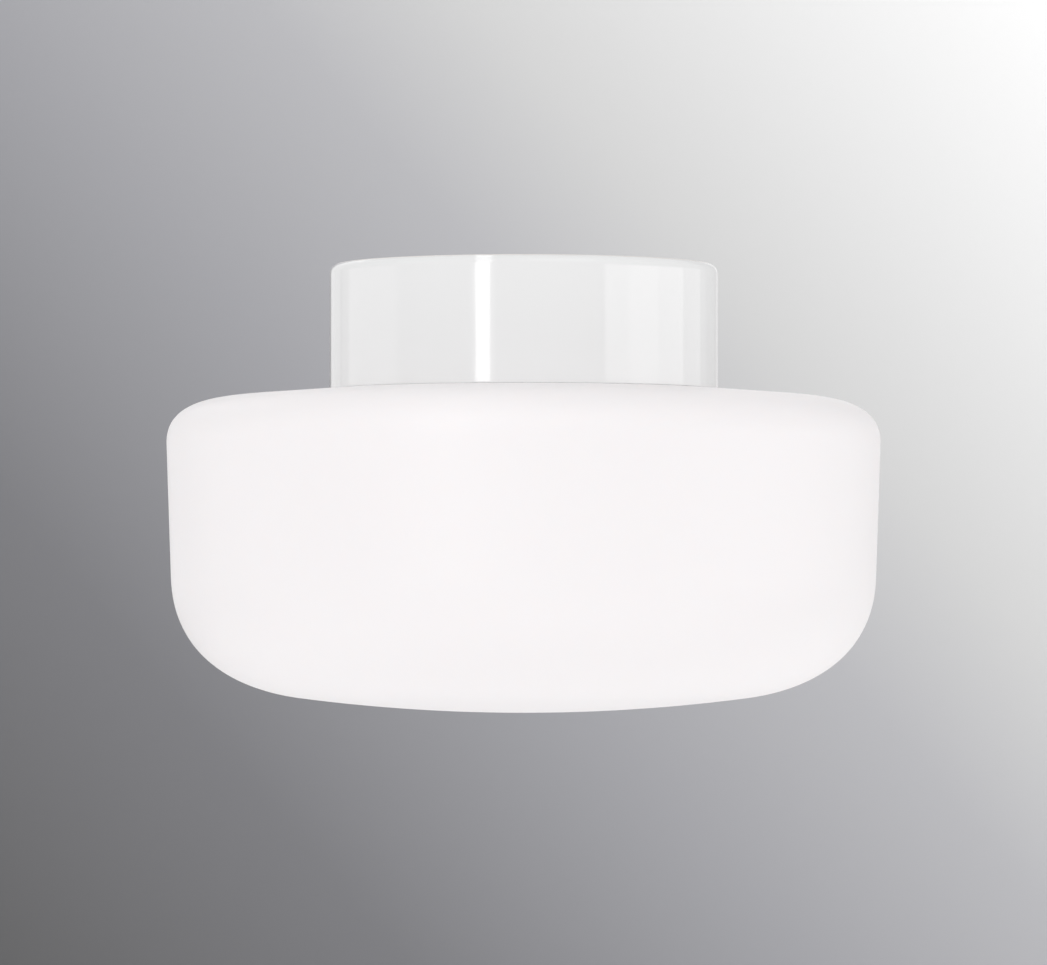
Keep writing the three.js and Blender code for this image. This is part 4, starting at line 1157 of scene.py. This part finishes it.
# %% [markdown]
# ## Light
# One big lamp beside the camera would be simple, but would burn a spot into the glaze. So the world gives
# most of the light, and the glaze mirrors low narrow panels: one gives the bright stripe, others the light
# sides.

# %% Lights
world = bpy.context.scene.world or bpy.data.worlds.new("world")
bpy.context.scene.world = world
world.use_nodes = True
background = world.node_tree.nodes["Background"].inputs
background["Color"].default_value, background["Strength"].default_value = (1, 1, 1, 1), 0.815
bpy.context.scene.view_settings.view_transform = "Standard"


def area_light(name, width, height, brightness, location):
    """An area light that faces the lamp, with the same brightness at any size."""
    light = bpy.data.lights.new(name, "AREA")
    light.shape, light.size, light.size_y = "RECTANGLE", width, height
    light.energy = brightness * pi * width * height
    obj = add(name, light)
    obj.location = location
    obj.rotation_euler = (-obj.location).to_track_quat("-Z", "Y").to_euler()
    print(name, round(width, 2), "m wide,", round(light.energy, 1), "W")


def panel(name, start, end, distance, height, brightness, middle_z=-0.03):
    """A panel that covers a range of azimuths to the right of the camera."""
    middle, half = radians(start + end) / 2, radians(end - start) / 2
    location = (distance * sin(middle), -distance * cos(middle), middle_z)
    area_light(name, 2 * distance * math.tan(half), height, brightness, location)


panel("stripe_panel", -27.7, -18.7, 1, 0.74, 4.5, 0.27)
panel("stripe_edge_panel", -30.2, -16.8, 2.6, 0.4, 0.9)
panel("side_panel", 48.5, 64, 2.4, 0.5, 1.35)
panel("bright_side_panel", 64, 86, 2.4, 0.5, 1.9)
panel("far_side_panel", 86, 108, 2.4, 0.5, 1.4)
panel("fading_panel", 108, 128, 2.4, 0.5, 0.55)
panel("left_panel", -125, -79, 2.4, 0.5, 0.5)
panel("back_left_panel", -160, -136, 1.3, 1.1, 0.8, 0.25)
panel("top_panel", 0, 50, 1.3, 0.8, 0.6, 1.3)
area_light("floor_panel", 3, 3, 0.28, (0, 0, floor_z + 0.02))

# %% [markdown]
# ## The strip over the edge
# The bright stripe runs on over the base's rounded edge, which looks up and back, so an upright panel can't
# do that. The strip light bends over the lamp, each of its points where the glaze mirrors it to the camera.
# It is hidden from diffuse light, so the glass keeps its tone.

# %% Bend a strip light over the lamp
bpy.ops.mesh.primitive_grid_add(x_subdivisions=1, y_subdivisions=20, size=2)
strip = named("strip_light")
edge_radius, edge_z, stripe_turn, half_width = 64, -2, -11.6, 2.3
for v in strip.data.vertices:
    turn, tilt = radians(stripe_turn + half_width * v.co.x), radians(45 + 30 * v.co.y)
    slant = Vector((sin(turn) * cos(tilt), -cos(turn) * cos(tilt), sin(tilt)))
    spot = Vector((edge_radius * sin(turn), -edge_radius * cos(turn), edge_z)) * mm
    v.co = spot - (camera.location - spot).normalized().reflect(slant)
strip.visible_diffuse = strip.visible_shadow = strip.visible_camera = False
stage(strip, Finish("strip_light", Base_Color=grey(0), Emission_Color=grey(1), Emission_Strength=4))
